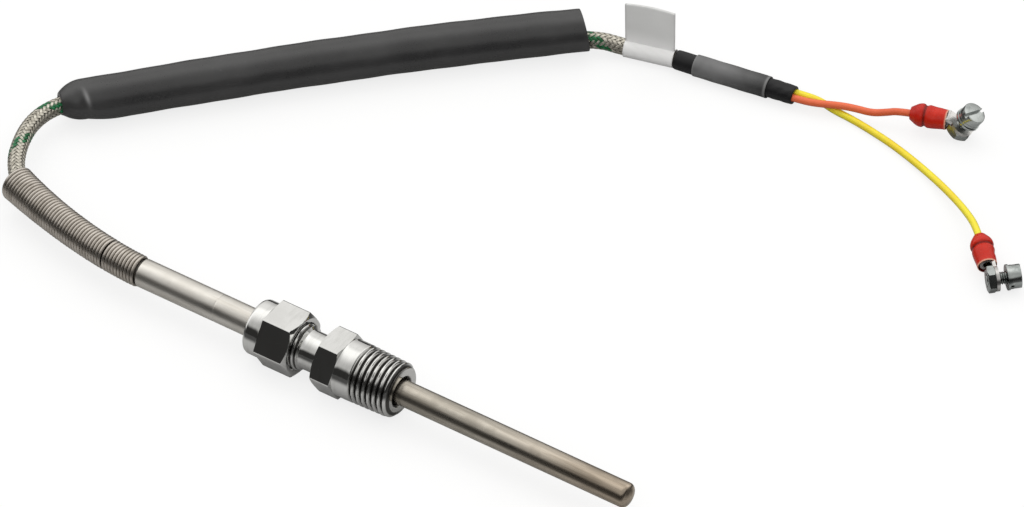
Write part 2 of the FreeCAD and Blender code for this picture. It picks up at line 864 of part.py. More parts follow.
TERMINALS = (
    Terminal("orange", (51.45, 150.47, -3.55), 18.6, 34.0, True, 34.0, 30.0, 55.0),
    Terminal("yellow", (86.84, 111.4, -3.95), -44.2, 9.0, False, 0.0, 9.0, 51.0),
)


def build_ring(terminal):
    """A stamped terminal: the tongue with its hole, and the rolled barrel behind it."""
    thick = size("tongue_thickness")
    root = size("tongue_root")
    width = size("tongue_root_width")
    up = vector(0, 0, 1)
    ring = Part.makeCylinder(size("tongue_od / 2"), thick, vector(0, 0, -thick / 2), up)
    neck = Part.makeBox(root, width, thick, vector(-root, -width / 2, -thick / 2))
    tongue = ring.fuse(neck)
    tongue = tongue.cut(Part.makeCylinder(size("tongue_hole / 2"), thick, vector(0, 0, -thick / 2), up))
    tongue.Placement = terminal.ring_frame()
    length = size("barrel_length")
    setback = size("barrel_setback")
    drop = size("barrel_od / 2 - tongue_thickness / 2")
    axis = vector(1, 0, 0)
    base = vector(-setback - length, 0, 0)
    barrel = Part.makeCylinder(size("barrel_od / 2"), length, base, axis)
    strip = Part.makeBox(setback + thick / 4, width, thick, vector(-setback, -width / 2, drop - thick / 2))
    barrel = barrel.fuse(strip).cut(Part.makeCylinder(size("barrel_bore / 2"), length, base, axis))
    barrel.Placement = terminal.barrel_frame()
    feature(terminal.colour + "_ring_terminal", tongue.fuse(barrel).removeSplitter())


def build_insulator(terminal):
    """The moulded sleeve on the barrel, with a funnel for the lead and a groove where it is crimped."""
    name = terminal.colour + "_insulator"
    front = "-insulator_setback"
    back = "-(insulator_setback + insulator_length)"
    seat = "-(barrel_setback + barrel_length + running_gap)"
    sleeve = turned(
        name,
        [
            (back, "lead_od / 2 + lead_fit"),
            (back, "insulator_entry_od / 2"),
            (f"{back} + insulator_length * 0.12", "insulator_entry_od / 2 + lead_fit"),
            (f"{back} + insulator_length * 0.3", "insulator_od / 2"),
            (f"{back} + insulator_length * 0.36", "insulator_od / 2"),
            (f"{back} + insulator_length * 0.39", "insulator_groove_od / 2"),
            (f"{back} + insulator_length * 0.43", "insulator_groove_od / 2"),
            (f"{back} + insulator_length * 0.46", "insulator_od / 2"),
            (f"{back} + insulator_length * 0.6", "insulator_od / 2"),
            (front, "insulator_mouth_od / 2"),
            (front, "barrel_od / 2 + running_gap"),
            (seat, "barrel_od / 2 + running_gap"),
            (seat, "lead_od / 2 + lead_fit"),
        ],
    )
    keep(sleeve, name, terminal.barrel_frame())


def build_screw(terminal):
    """The slotted screw with its two washers under the head, and the nut on the other side of the tongue."""
    up = vector(0, 0, 1)
    half_tongue = size("tongue_thickness / 2")
    washer_low = half_tongue + size("screw_gap")
    flat = size("flat_washer_thickness")
    lock = size("lock_washer_thickness")
    under_head = washer_low + flat + lock
    hole = size("washer_hole / 2")

    def at(height):
        return vector(0, 0, height)

    head_height = size("screw_head_height")
    head_r = size("screw_head_od / 2")
    slot_width = size("screw_slot_width")
    slot_depth = size("screw_slot_depth")
    screw_length = size("screw_length")
    head = Part.makeCylinder(head_r, head_height, at(under_head), up)
    rim = [edge for edge in head.Edges if edge.BoundBox.ZMin > under_head + head_height / 2]
    head = head.makeFillet(head_height / 6, rim)
    shank = Part.makeCylinder(size("screw_od / 2"), screw_length, at(under_head - screw_length), up)
    slot = Part.makeBox(2 * head_r, slot_width, slot_depth)
    slot.translate(vector(-head_r, -slot_width / 2, under_head + head_height - slot_depth))
    slot.rotate(vector(0, 0, 0), up, terminal.slot_turn)
    feature(terminal.colour + "_screw", head.fuse(shank).cut(slot), terminal.ring_frame())

    ring = Part.makeCylinder(size("lock_washer_od / 2"), lock, at(washer_low + flat), up)
    ring = ring.cut(Part.makeCylinder(hole, lock, at(washer_low + flat), up))
    slit_width = size("lock_washer_slit")
    slit = Part.makeBox(size("lock_washer_od"), slit_width, lock)
    slit.translate(vector(0, -slit_width / 2, washer_low + flat))
    feature(terminal.colour + "_lock_washer", ring.cut(slit), terminal.ring_frame())

    disc = Part.makeCylinder(size("flat_washer_od / 2"), flat, at(washer_low), up)
    disc = disc.cut(Part.makeCylinder(hole, flat, at(washer_low), up))
    feature(terminal.colour + "_flat_washer", disc, terminal.ring_frame())

    height = size("screw_nut_height")
    nut_low = -half_tongue - size("screw_nut_space") - height
    corner = size("screw_nut_across / sqrt(3)")
    steps = [math.radians(30 + terminal.nut_turn + 60 * index) for index in range(7)]
    corners = [vector(corner * math.sin(step), corner * math.cos(step), nut_low) for step in steps]
    blank = Part.Face(Part.makePolygon(corners)).extrude(vector(0, 0, height))
    bevel = (corner - size("screw_nut_across / 2")) * math.tan(math.radians(30))
    barrel = Part.makeCylinder(corner, height, at(nut_low), up)
    barrel = barrel.makeChamfer(bevel, corner - size("screw_nut_across / 2"), barrel.Edges[0:3:2])
    nut = blank.common(barrel)
    nut = nut.cut(Part.makeCylinder(size("screw_nut_hole / 2"), height, at(nut_low), up))
    feature(terminal.colour + "_nut", nut, terminal.ring_frame())


build_probe()
build_back_tube()
build_fitting()
build_spring()
build_cords()
build_sleeve()
build_label()
build_boot()
for terminal in TERMINALS:
    build_ring(terminal)
    build_insulator(terminal)
    build_screw(terminal)

doc.recompute()
for thing in doc.Objects:
    if "Invalid" in thing.State or "Error" in thing.State:
        raise RuntimeError(f"{thing.Label} did not build: {thing.State}")
for thing in made:
    if thing.Shape.isNull() or not thing.Shape.isValid() or not thing.Shape.Solids:
        raise RuntimeError(f"{thing.Label} has no valid solid")

os.makedirs("parts", exist_ok=True)
for thing in made:
    thing.Shape.exportStep(f"parts/{thing.Label}.step")
print(f"{len(made)} sub-parts written")
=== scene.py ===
"""Looks of an exhaust gas temperature sensor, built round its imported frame.

The probe, the fitting, the spring, the sleeves and the terminals are surfaces worked out with numpy in the part's
own frame, in millimetres, and put into meshes in metres. The cable and the leads are smooth cords.
"""
import logging
import math
from dataclasses import dataclass, field
from enum import Enum
from typing import Callable, ClassVar, Sequence

import bmesh
import bpy
import numpy as np
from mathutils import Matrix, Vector


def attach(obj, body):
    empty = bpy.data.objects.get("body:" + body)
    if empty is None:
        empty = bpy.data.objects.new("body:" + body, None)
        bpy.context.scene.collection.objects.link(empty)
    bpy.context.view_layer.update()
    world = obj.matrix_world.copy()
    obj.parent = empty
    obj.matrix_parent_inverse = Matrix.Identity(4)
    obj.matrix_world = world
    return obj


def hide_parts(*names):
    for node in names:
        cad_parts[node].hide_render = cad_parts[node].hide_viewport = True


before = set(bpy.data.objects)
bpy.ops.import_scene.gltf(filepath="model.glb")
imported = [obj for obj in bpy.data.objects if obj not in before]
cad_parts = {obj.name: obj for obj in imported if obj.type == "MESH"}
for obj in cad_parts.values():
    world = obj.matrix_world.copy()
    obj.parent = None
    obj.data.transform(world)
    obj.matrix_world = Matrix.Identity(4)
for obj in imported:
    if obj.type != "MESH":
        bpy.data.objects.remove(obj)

LOG = logging.getLogger("sensor")
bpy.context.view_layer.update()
MM = 0.001
UP = (0.0, 0.0, 1.0)
NO_CUT = 99.0  # a radius beyond every piece, where a shape takes nothing off
HAIR = 1e-6  # a margin for comparing places on an outline
WELD = 1e-7  # points nearer to each other than this, in metres, become one
Array = np.ndarray
Point = tuple[float, float, float]
Field = Callable[[Array, Array, Array], Array]


class Body(Enum):
    """The rigid bodies that pieces ride on."""

    SENSOR = "sensor"
    NUT = "nut"
    ORANGE_SCREW = "orange_fastener"
    YELLOW_SCREW = "yellow_fastener"


class Lay(Enum):
    """The way a strand winds round the cable."""

    RIGHT = 1.0
    LEFT = -1.0


# Surfaces on grids


def unit(vectors: Array) -> Array:
    """Vectors brought to a length of 1."""
    return vectors / np.linalg.norm(vectors, axis=-1, keepdims=True)


def ring_angles(columns: int) -> Array:
    """Even angles once round a ring."""
    return np.arange(columns) * 2 * np.pi / columns


def hump(value: Array, middle: float, width: float) -> Array:
    """A soft hump: 1 in its middle, and e to the minus square of the distance in widths."""
    return np.exp(-(((value - middle) / width) ** 2))


def smooth_step(value: Array, low: float, high: float) -> Array:
    """A value's smooth rise from 0 at low to 1 at high."""
    share = np.clip((value - low) / (high - low), 0, 1)
    return share * share * (3 - 2 * share)


def grid_faces(rows: int, columns: int, close_rows: bool, close_columns: bool) -> tuple[Array, Array]:
    """Quads of a grid of points, closed round on itself where asked.

    Args:
        rows: how many rows of points there are.
        columns: how many points a row has.
        close_rows: whether the last row joins the first.
        close_columns: whether a row's last point joins its first.

    Returns:
        The quads as point numbers, and each corner's row and column before it is wrapped.
    """
    row = np.arange(rows if close_rows else rows - 1)
    column = np.arange(columns if close_columns else columns - 1)
    i, j = np.meshgrid(row, column, indexing="ij")
    steps = ((0, 0), (0, 1), (1, 1), (1, 0))
    corners = np.stack([np.stack([i + a, j + b], axis=-1) for a, b in steps], axis=2).reshape(-1, 4, 2)
    faces = (corners[..., 0] % rows) * columns + corners[..., 1] % columns
    return faces, corners


@dataclass
class Surface:
    """A mesh in the making: points in millimetres, quads, their UVs and two values for each point.

    A mark of 1 asks for a finish's second colour, and a depth of 1 says that a place lies deep in a groove.
    """

    points: Array
    faces: Array
    uv: Array
    marks: Array
    depths: Array

    @classmethod
    def from_grid(cls, grid: Array, close_rows: bool = False, close_columns: bool = True) -> "Surface":
        """A surface from a grid of points.

        Args:
            grid: points as rows, columns and coordinates.
            close_rows: whether the last row joins the first.
            close_columns: whether each row is a ring.

        Returns:
            The surface, its UVs on a unit square.
        """
        rows, columns = grid.shape[:2]
        faces, corners = grid_faces(rows, columns, close_rows, close_columns)
        blank = np.zeros((2, rows * columns))
        return cls(grid.reshape(-1, 3), faces, corners * np.array((1 / rows, 1 / columns)), *blank)

    @classmethod
    def joined(cls, parts: Sequence["Surface"]) -> "Surface":
        """Several surfaces as one.

        Args:
            parts: the surfaces.

        Returns:
            One surface that holds them all.
        """
        starts = np.cumsum([0] + [len(part.points) for part in parts[:-1]])
        whole = {
            name: np.concatenate([getattr(part, name) for part in parts])
            for name in ("points", "uv", "marks", "depths")
        }
        return cls(faces=np.concatenate([part.faces + start for part, start in zip(parts, starts)]), **whole)

    def placed(self, place: "Place") -> "Surface":
        """The surface moved from a piece's own frame into the part's frame."""
        return Surface(place.apply(self.points), self.faces, self.uv, self.marks, self.depths)

    def to_object(self, name: str, sharp: float = 30.0) -> bpy.types.Object:
        """Put the surface into a new mesh object at the origin.

        Args:
            name: the object's name.
            sharp: edges that turn by more than these degrees stay sharp.

        Returns:
            The object, linked to the scene.
        """
        mesh = bpy.data.meshes.new(name)
        mesh.from_pydata((self.points * MM).tolist(), [], self.faces.tolist())
        layer = mesh.uv_layers.new(name="UVMap")
        layer.data.foreach_set("uv", self.uv.reshape(-1).astype(np.float32))
        for label, values in (("mark", self.marks), ("depth", self.depths)):
            layer = mesh.attributes.new(label, "FLOAT", "POINT")
            layer.data.foreach_set("value", values.astype(np.float32))
        work = bmesh.new()
        work.from_mesh(mesh)
        bmesh.ops.remove_doubles(work, verts=work.verts, dist=WELD)
        work.to_mesh(mesh)
        work.free()
        mesh.shade_smooth()
        mesh.set_sharp_from_angle(angle=math.radians(sharp))
        thing = bpy.data.objects.new(name, mesh)
        bpy.context.scene.collection.objects.link(thing)
        return thing


@dataclass(frozen=True)
class Place:
    """A piece's own frame: where its origin is, and which way its three axes point."""

    origin: Array
    x: Array
    y: Array
    z: Array

    @classmethod
    def along(cls, origin: Sequence[float], x: Sequence[float], z: Sequence[float]) -> "Place":
        """A frame whose +X is x and whose +Z is as near to z as it can be.

        Args:
            origin: the frame's origin, in millimetres.
            x: its +X.
            z: the wanted +Z.

        Returns:
            The frame.
        """
        first = unit(np.asarray(x, float))
        third = unit(np.asarray(z, float) - first * np.dot(first, z))
        return cls(np.asarray(origin, float), first, np.cross(third, first), third)

    def apply(self, points: Array) -> Array:
        """Points of the piece's own frame, in the part's frame."""
        return self.origin + points[..., :1] * self.x + points[..., 1:2] * self.y + points[..., 2:] * self.z


def softened(corners: Sequence[tuple[float, float]], rounding: float, steps: int = 4) -> Array:
    """A closed outline with its corners rounded: at each, a quadratic curve from one edge to the next.

    Args:
        corners: the outline's corners.
        rounding: how far from the corner the curve starts, where the edges are long enough.
        steps: how many points a curve has.

    Returns:
        The outline's points.
    """
    here = np.asarray(corners, float)
    back = np.roll(here, 1, axis=0) - here
    ahead = np.roll(here, -1, axis=0) - here
    back_length = np.linalg.norm(back, axis=1, keepdims=True)
    ahead_length = np.linalg.norm(ahead, axis=1, keepdims=True)
    longest = 0.45 * np.minimum(back_length, ahead_length)
    reach = np.minimum(rounding, longest)
    start = here + back / back_length * reach
    end = here + ahead / ahead_length * reach
    t = np.linspace(0, 1, steps)[None, :, None]
    curve = start[:, None] * (1 - t) ** 2 + 2 * here[:, None] * t * (1 - t) + end[:, None] * t**2
    return curve.reshape(-1, 2)


def refined(outline: Array, step: Callable[[Array], float]) -> Array:
    """A closed outline with points added, so that no edge is longer than its step.

    Args:
        outline: the outline's points.
        step: gives the longest edge allowed, from an edge's middle.

    Returns:
        The outline with its added points.
    """
    pieces = []
    for start, end in zip(outline, np.roll(outline, -1, axis=0)):
        count = max(1, math.ceil(float(np.linalg.norm(end - start)) / step((start + end) / 2)))
        pieces.append(start + (end - start) * (np.arange(count) / count)[:, None])
    return np.concatenate(pieces)


def turned(outline: Array, columns: int, shape: Field | None = None, depth: Field | None = None) -> Surface:
    """A closed outline turned about the X axis.

    Args:
        outline: points as distance along the axis and radius.
        columns: how many points go round.
        shape: gives the radius from the distance, the outline's radius and the angle, for flats and threads.
        depth: gives each place's depth in a groove from the distance, the final radius and the angle.

    Returns:
        The surface: x stays, y and z are the radius times the angle's cosine and sine.
    """
    x, radius = outline[:, 0], outline[:, 1]
    if np.sum(x * np.roll(radius, -1) - np.roll(x, -1) * radius) > 0:
        x, radius = x[::-1], radius[::-1]
    angle = ring_angles(columns)
    far = np.broadcast_to(x[:, None], (len(x), columns))
    wide = np.broadcast_to(radius[:, None], far.shape)
    if shape is not None:
        wide = shape(far, wide, angle[None, :])
    grid = np.stack([far, wide * np.cos(angle), wide * np.sin(angle)], axis=-1)
    surface = Surface.from_grid(grid, close_rows=True)
    if depth is not None:
        surface.depths = np.broadcast_to(depth(far, wide, angle[None, :]), far.shape).reshape(-1)
    return surface


def hexagon_radius(angle: Array, across: float) -> Array:
    """How far a hexagon with level flats reaches at an angle: half its width over the cosine from the flat.

    Args:
        angle: angles from +Y towards +Z.
        across: its width across flats.

    Returns:
        The distance at each angle, with the corners taken off a little.
    """
    from_flat = (angle - np.pi / 2 + np.pi / 6) % (np.pi / 3) - np.pi / 6
    corner = 0.988 * across / math.sqrt(3)
    return np.minimum(across / 2 / np.cos(from_flat), corner)


def thread_depth(x: Array, angle: Array, pitch: float, crest: float = 0.1) -> Array:
    """A right-hand thread's depth as a share: 0 on its crest and 1 in its root, a V with both ends flat.

    Args:
        x: distance along the axis.
        angle: angle round it.
        pitch: distance from crest to crest.
        crest: the flat crest's share of the pitch.

    Returns:
        The share at each place.
    """
    root = 0.88
    phase = (x / pitch - angle / (2 * np.pi)) % 1.0
    return np.clip((np.abs(2 * phase - 1) - crest) / (root - crest), 0, 1)


# Paths


@dataclass
class Path:
    """A line in space, read at any distance along it.

    Its frames keep one axis level. A heading is read from LOOK millimetres on either side.
    """

    LOOK: ClassVar[float] = 0.25

    points: Array
    distance: Array = field(init=False)

    def __post_init__(self) -> None:
        """Measure the line."""
        steps = np.linalg.norm(np.diff(self.points, axis=0), axis=1)
        self.distance = np.concatenate([[0.0], np.cumsum(steps)])

    @classmethod
    def smooth(cls, controls: Sequence[Point]) -> "Path":
        """The line of a NURBS spline with these control points, read from a curve with no bevel.

        Args:
            controls: the control points, in millimetres.

        Returns:
            The path.
        """
        curve = nurbs("path_reader", controls, 0.0)
        mesh = bpy.data.meshes.new_from_object(curve)
        flat = np.empty(len(mesh.vertices) * 3, dtype=np.float32)
        mesh.vertices.foreach_get("co", flat)
        bpy.data.meshes.remove(mesh)
        data = curve.data
        bpy.data.objects.remove(curve)
        bpy.data.curves.remove(data)
        return cls(flat.reshape(-1, 3).astype(float) / MM)

    @property
    def length(self) -> float:
        """The line's length."""
        return float(self.distance[-1])

    def at(self, along: Array) -> Array:
        """Points at distances along the line, going on straight past its ends.

        Args:
            along: the distances.

        Returns:
            The points.
        """
        inside = np.stack([np.interp(along, self.distance, self.points[:, axis]) for axis in range(3)], axis=-1)
        before = np.minimum(along, 0.0)[..., None] * unit(self.points[1] - self.points[0])
        past = np.maximum(along - self.length, 0.0)[..., None] * unit(self.points[-1] - self.points[-2])
        return inside + before + past

    def frames(self, along: Array) -> tuple[Array, Array, Array, Array]:
        """Places and frames at distances along the line.

        Args:
            along: the distances.

        Returns:
            The points, the headings, the level side axes and the axes that point up.
        """
        heading = unit(self.at(along + self.LOOK) - self.at(along - self.LOOK))
        side = unit(np.cross(np.array(UP), heading))
        return self.at(along), heading, side, np.cross(heading, side)

    def carry(self, along: Array, wide: Array, high: Array, columns: int) -> Array:
        """Rings carried along the line.

        Args:
            along: each ring's distance along the line.
            wide: half widths, one a point, as rings and columns.
            high: half heights, likewise.
            columns: how many points a ring has.

        Returns:
            A grid: the place, plus side times wide times cosine, plus up times high times sine.
        """
        place, _, side, up = self.frames(along)
        angle = ring_angles(columns)[None, :, None]
        sideways = side[:, None] * wide[..., None] * np.cos(angle)
        return place[:, None] + sideways + up[:, None] * high[..., None] * np.sin(angle)


def swept(centres: Array, normals: Array, section: Array) -> Array:
    """A small section carried along lines, closed with a point at both ends.

    Args:
        centres: lines as strands, stations and coordinates.
        normals: the direction of the section's first axis at each station.
        section: the section's points, as distance along the normal and across it.

    Returns:
        Grids of points, one a strand, whose first and last rows are points.
    """
    across = unit(np.cross(unit(np.gradient(centres, axis=1)), normals))
    rings = (
        centres[:, :, None]
        + normals[:, :, None] * section[None, None, :, :1]
        + across[:, :, None] * section[None, None, :, 1:]
    )
    ends = [np.repeat(centres[:, which, None], len(section), axis=1)[:, None] for which in (0, -1)]
    return np.concatenate([ends[0], rings, ends[1]], axis=1)


def strands_surface(grids: Array, marks: Array, depths: Array) -> Surface:
    """Several strands as one surface.

    Args:
        grids: strands, rows, columns and coordinates.
        marks: one value a strand.
        depths: strands, stations and columns of a section.

    Returns:
        The surface. Its UV runs along the strand, in rows, and across it, from 0 to 1.
    """
    count, rows, columns = grids.shape[:3]
    faces, corners = grid_faces(rows, columns, False, True)
    offsets = (np.arange(count) * rows * columns)[:, None, None]
    uv = np.broadcast_to(corners * np.array([1.0, 1 / columns]), (count, *corners.shape))
    return Surface(
        grids.reshape(-1, 3),
        (faces[None] + offsets).reshape(-1, 4),
        uv.reshape(-1, 4, 2),
        np.repeat(marks, rows * columns),
        np.pad(depths, ((0, 0), (1, 1), (0, 0)), mode="edge").reshape(-1),
    )


def nurbs(name: str, controls: Sequence[Point], radius: float) -> bpy.types.Object:
    """A smooth cord: one open NURBS spline through its end points.

    Args:
        name: the object's name.
        controls: control points, in millimetres.
        radius: the cord's radius, or 0 for a bare line.

    Returns:
        The curve object.
    """
    data = bpy.data.curves.new(name, "CURVE")
    data.dimensions = "3D"
    data.resolution_u = 16
    data.bevel_depth = radius * MM
    data.bevel_resolution = 6
    data.use_fill_caps = radius > 0
    spline = data.splines.new("NURBS")
    spline.points.add(len(controls) - 1)
    places = np.concatenate([np.asarray(controls, float) * MM, np.ones((len(controls), 1))], axis=1)
    spline.points.foreach_set("co", places.reshape(-1))
    spline.order_u = 3
    spline.use_endpoint_u = True
    thing = bpy.data.objects.new(name, data)
    bpy.context.scene.collection.objects.link(thing)
    return thing


# Node building


Socket = bpy.types.NodeSocket


class Nodes:
    """A short way to write a node tree."""

    def __init__(self, tree: bpy.types.NodeTree) -> None:
        """Keep the tree."""
        self.tree = tree

    def put(self, target: Socket, value: object) -> None:
        """Link a socket to another, or set its own value."""
        if isinstance(value, bpy.types.NodeSocket):
            self.tree.links.new(value, target)
        else:
            target.default_value = value

    def add(
        self,
        kind: str,
        settings: dict[str, object] | None = None,
        **inputs: object,
    ) -> bpy.types.Node:
        """Add a node.

        Args:
            kind: the node's type.
            settings: properties of the node.
            inputs: values or sockets for its inputs, a space in a name written as an underscore.

        Returns:
            The node.
        """
        node = self.tree.nodes.new(kind)
        for key, value in (settings or {}).items():
            setattr(node, key, value)
        self.feed(node, **inputs)
        return node

    def math(self, operation: str, first: object, second: object = 0.0) -> Socket:
        """The result of a sum of one or two values.

        Args:
            operation: the Math node's operation.
            first: a value or a socket.
            second: likewise.

        Returns:
            The result.
        """
        node = self.add("ShaderNodeMath", {"operation": operation})
        self.put(node.inputs[0], first)
        self.put(node.inputs[1], second)
        return node.outputs[0]

    def blend(self, share: object, first: object, second: object, way: str = "MIX") -> Socket:
        """Two colours blended by a share.

        Args:
            share: how much of the second colour is taken.
            first: the first colour.
            second: the second colour.
            way: how the second is laid over the first.

        Returns:
            The blended colour.
        """
        node = self.add("ShaderNodeMix", {"data_type": "RGBA", "blend_type": way})
        self.put(node.inputs[0], share)
        self.put(node.inputs[6], first)
        self.put(node.inputs[7], second)
        return node.outputs[2]

    def spread(self, value: Socket, low: float, high: float, to_low: float, to_high: float) -> Socket:
        """A value carried smoothly from one range to another and held inside it.

        Args:
            value: the value.
            low: where the first range starts.
            high: where it ends.
            to_low: what its start becomes.
            to_high: what its end becomes.

        Returns:
            The value in the other range.
        """
        node = self.add(
            "ShaderNodeMapRange",
            {"interpolation_type": "SMOOTHSTEP"},
            Value=value,
            From_Min=low,
            From_Max=high,
            To_Min=to_low,
            To_Max=to_high,
        )
        return node.outputs["Result"]

    def noise(self, vector: Socket, scale: object, detail: float, rough: float) -> Socket:
        """A noise over the surface."""
        node = self.add("ShaderNodeTexNoise", None, Vector=vector, Scale=scale, Detail=detail, Roughness=rough)
        return node.outputs[0]

    def swing(self, value: Socket, size: object) -> Socket:
        """A noise's swing to either side of its middle, times a size."""
        return self.math("MULTIPLY", self.math("SUBTRACT", value, 0.5), size)

    def bump(self, height: Socket, strength: float, distance: float) -> Socket:
        """A normal that a height ruffles."""
        node = self.add("ShaderNodeBump", None, Height=height, Strength=strength, Distance=distance)
        return node.outputs["Normal"]

    def feed(self, node: bpy.types.Node, **inputs: object) -> None:
        """Put values or sockets into a node's inputs, a space in a name written as an underscore."""
        for key, value in inputs.items():
            self.put(node.inputs[key.replace("_", " ")], value)

    def value(self, name: str) -> Socket:
        """A value that the mesh holds for each point."""
        return self.add("ShaderNodeAttribute", {"attribute_name": name}).outputs["Fac"]

    def stretched(self, vector: Socket, scale: Point) -> Socket:
        """Coordinates stretched by a Mapping node."""
        return self.add("ShaderNodeMapping", None, Vector=vector, Scale=scale).outputs[0]


FLOAT, COLOUR, VECTOR = "NodeSocketFloat", "NodeSocketColor", "NodeSocketVector"


def new_group(name: str, inputs: dict[str, str]) -> tuple[bpy.types.NodeTree, Nodes, bpy.types.Node]:
    """A shader node group that puts out a colour, a roughness and a height.

    Args:
        name: the group's name.
        inputs: socket names and types.

    Returns:
        The group's tree, its node writer and its entry.
    """
    tree = bpy.data.node_groups.new(name, "ShaderNodeTree")
    for label, kind in inputs.items():
        tree.interface.new_socket(label, in_out="INPUT", socket_type=kind)
    for label, kind in (("Colour", COLOUR), ("Roughness", FLOAT), ("Height", FLOAT)):
        tree.interface.new_socket(label, in_out="OUTPUT", socket_type=kind)
    nodes = Nodes(tree)
    return tree, nodes, nodes.add("NodeGroupInput")


def drawn_metal_group() -> bpy.types.NodeTree:
    """Drawn and handled metal: streaks along one direction, faint smudges, and a fine height.

    Returns:
        The group.
    """
    kinds = {
        "Vector": VECTOR,
        "Streaks": VECTOR,
        "Colour": COLOUR,
        "Shade": COLOUR,
        "Roughness": FLOAT,
        "Spread": FLOAT,
    }
    tree, nodes, entry = new_group("drawn_metal", kinds)
    lined = nodes.noise(entry.outputs["Streaks"], 1.0, 4.0, 0.6)
    smudge = nodes.noise(entry.outputs["Vector"], 160.0, 3.0, 0.6)
    fine = nodes.noise(entry.outputs["Vector"], 2600.0, 2.0, 0.5)
    dark = nodes.spread(lined, 0.38, 0.72, 0.0, 1.0)
    cloud = nodes.spread(smudge, 0.35, 0.7, 0.0, 0.55)
    share = nodes.math("MAXIMUM", dark, cloud)
    colour = nodes.blend(share, entry.outputs["Colour"], entry.outputs["Shade"])
    swings = [nodes.swing(noise, entry.outputs["Spread"]) for noise in (smudge, lined)]
    rough = nodes.math("ADD", entry.outputs["Roughness"], nodes.math("ADD", *swings))
    height = nodes.math("ADD", lined, nodes.math("MULTIPLY", fine, 0.4))
    nodes.add("NodeGroupOutput", None, Colour=colour, Roughness=rough, Height=height)
    return tree


def moulded_group() -> bpy.types.NodeTree:
    """Moulded, extruded or shrunk plastic: clouds of shade, a fine grain, dust, and a soft waviness.

    Returns:
        The group.
    """
    kinds = {
        "Vector": VECTOR,
        "Colour": COLOUR,
        "Shade": COLOUR,
        "Dust": COLOUR,
        "Grain": FLOAT,
        "Roughness": FLOAT,
    }
    tree, nodes, entry = new_group("moulded_plastic", kinds)
    vector = entry.outputs["Vector"]
    cloud = nodes.noise(vector, 90.0, 3.0, 0.6)
    grain = nodes.noise(vector, entry.outputs["Grain"], 3.0, 0.6)
    specks = nodes.noise(vector, 1500.0, 2.0, 0.5)
    shaded = nodes.spread(cloud, 0.35, 0.7, 0.0, 1.0)
    base = nodes.blend(shaded, entry.outputs["Colour"], entry.outputs["Shade"])
    settled = nodes.spread(cloud, 0.4, 0.65, 0.2, 1.0)
    dusty = nodes.math("MULTIPLY", nodes.spread(specks, 0.62, 0.76, 0.0, 0.5), settled)
    colour = nodes.blend(dusty, base, entry.outputs["Dust"])
    swings = nodes.math("ADD", nodes.swing(grain, 0.22), nodes.swing(cloud, 0.2))
    rough = nodes.math("ADD", entry.outputs["Roughness"], swings)
    height = nodes.math("ADD", grain, nodes.math("MULTIPLY", cloud, 1.5))
    nodes.add("NodeGroupOutput", None, Colour=colour, Roughness=rough, Height=height)
    return tree


# Finishes


GROUPS: dict[str, bpy.types.NodeTree] = {}
MADE: dict[str, bpy.types.Material] = {}
Colour3 = tuple[float, float, float]
WHITE: Colour3 = (1.0, 1.0, 1.0)


def four(colour: Colour3) -> tuple[float, float, float, float]:
    """A colour with full alpha."""
    return (*colour, 1.0)


def dress(thing: bpy.types.Object, material: bpy.types.Material) -> None:
    """Give an object one material in all its slots.

    Args:
        thing: the object.
        material: its material.
    """
    slots = thing.data.materials
    if len(slots) == 0:
        slots.append(material)
    for index in range(len(slots)):
        slots[index] = material


@dataclass(frozen=True)
class Finish:
    """How a surface looks, as one material."""

    name: str

    def write(self, nodes: Nodes, shader: bpy.types.Node) -> None:
        """Write the nodes that feed the shader, in the way of each kind of finish."""
        raise NotImplementedError

    def material(self) -> bpy.types.Material:
        """The finish's material, built when it is first asked for.

        Returns:
            The material, with one Principled shader.
        """
        if self.name not in MADE:
            material = MADE[self.name] = bpy.data.materials.new(self.name)
            material.use_nodes = True
            material.node_tree.nodes.clear()
            nodes = Nodes(material.node_tree)
            shader = nodes.add("ShaderNodeBsdfPrincipled")
            nodes.add("ShaderNodeOutputMaterial", None, Surface=shader.outputs["BSDF"])
            self.write(nodes, shader)
        return MADE[self.name]


@dataclass(frozen=True)
class MetalFinish(Finish):
    """A drawn, turned or plated metal.

    A tint, where there is one, grows along X between two places, and painted shade darkens deep places: threads,
    gaps and mouths.
    """

    colour: Colour3
    shade: Colour3
    roughness: float
    spread: float
    streaks: Point
    bump: float
    tint: Colour3 | None = None
    tint_from: float = 0.0
    tint_to: float = 1.0
    painted_shade_and_rim: Colour3 | None = None
    painted_shade_from: float = 0.5

    def write(self, nodes: Nodes, shader: bpy.types.Node) -> None:
        """Write streaked metal, with its tint and its painted shade.

        Args:
            nodes: the material's node writer.
            shader: its shader.
        """
        coordinate = nodes.add("ShaderNodeTexCoord").outputs["Object"]
        metal = nodes.add(
            "ShaderNodeGroup",
            {"node_tree": GROUPS["metal"]},
            Vector=coordinate,
            Streaks=nodes.stretched(coordinate, self.streaks),
            Colour=four(self.colour),
            Shade=four(self.shade),
            Roughness=self.roughness,
            Spread=self.spread,
        )
        colour, rough = metal.outputs["Colour"], metal.outputs["Roughness"]
        if self.tint is not None:
            along = nodes.add("ShaderNodeSeparateXYZ", None, Vector=coordinate).outputs["X"]
            share = nodes.spread(along, self.tint_from * MM, self.tint_to * MM, 0.0, 0.8)
            colour = nodes.blend(share, colour, four(self.tint), "MULTIPLY")
        # painted shade: darker and rougher where the mesh's depth is high, in recesses where shade falls
        if self.painted_shade_and_rim is not None:
            share = nodes.spread(nodes.value("depth"), self.painted_shade_from, self.painted_shade_from + 0.5, 0.0, 0.92)
            colour = nodes.blend(share, colour, four(self.painted_shade_and_rim))
            rough = nodes.math("ADD", rough, nodes.math("MULTIPLY", share, 0.25))
        normal = nodes.bump(metal.outputs["Height"], self.bump, 0.2 * MM)
        nodes.feed(shader, Base_Color=colour, Roughness=rough, Normal=normal, Metallic=1.0)


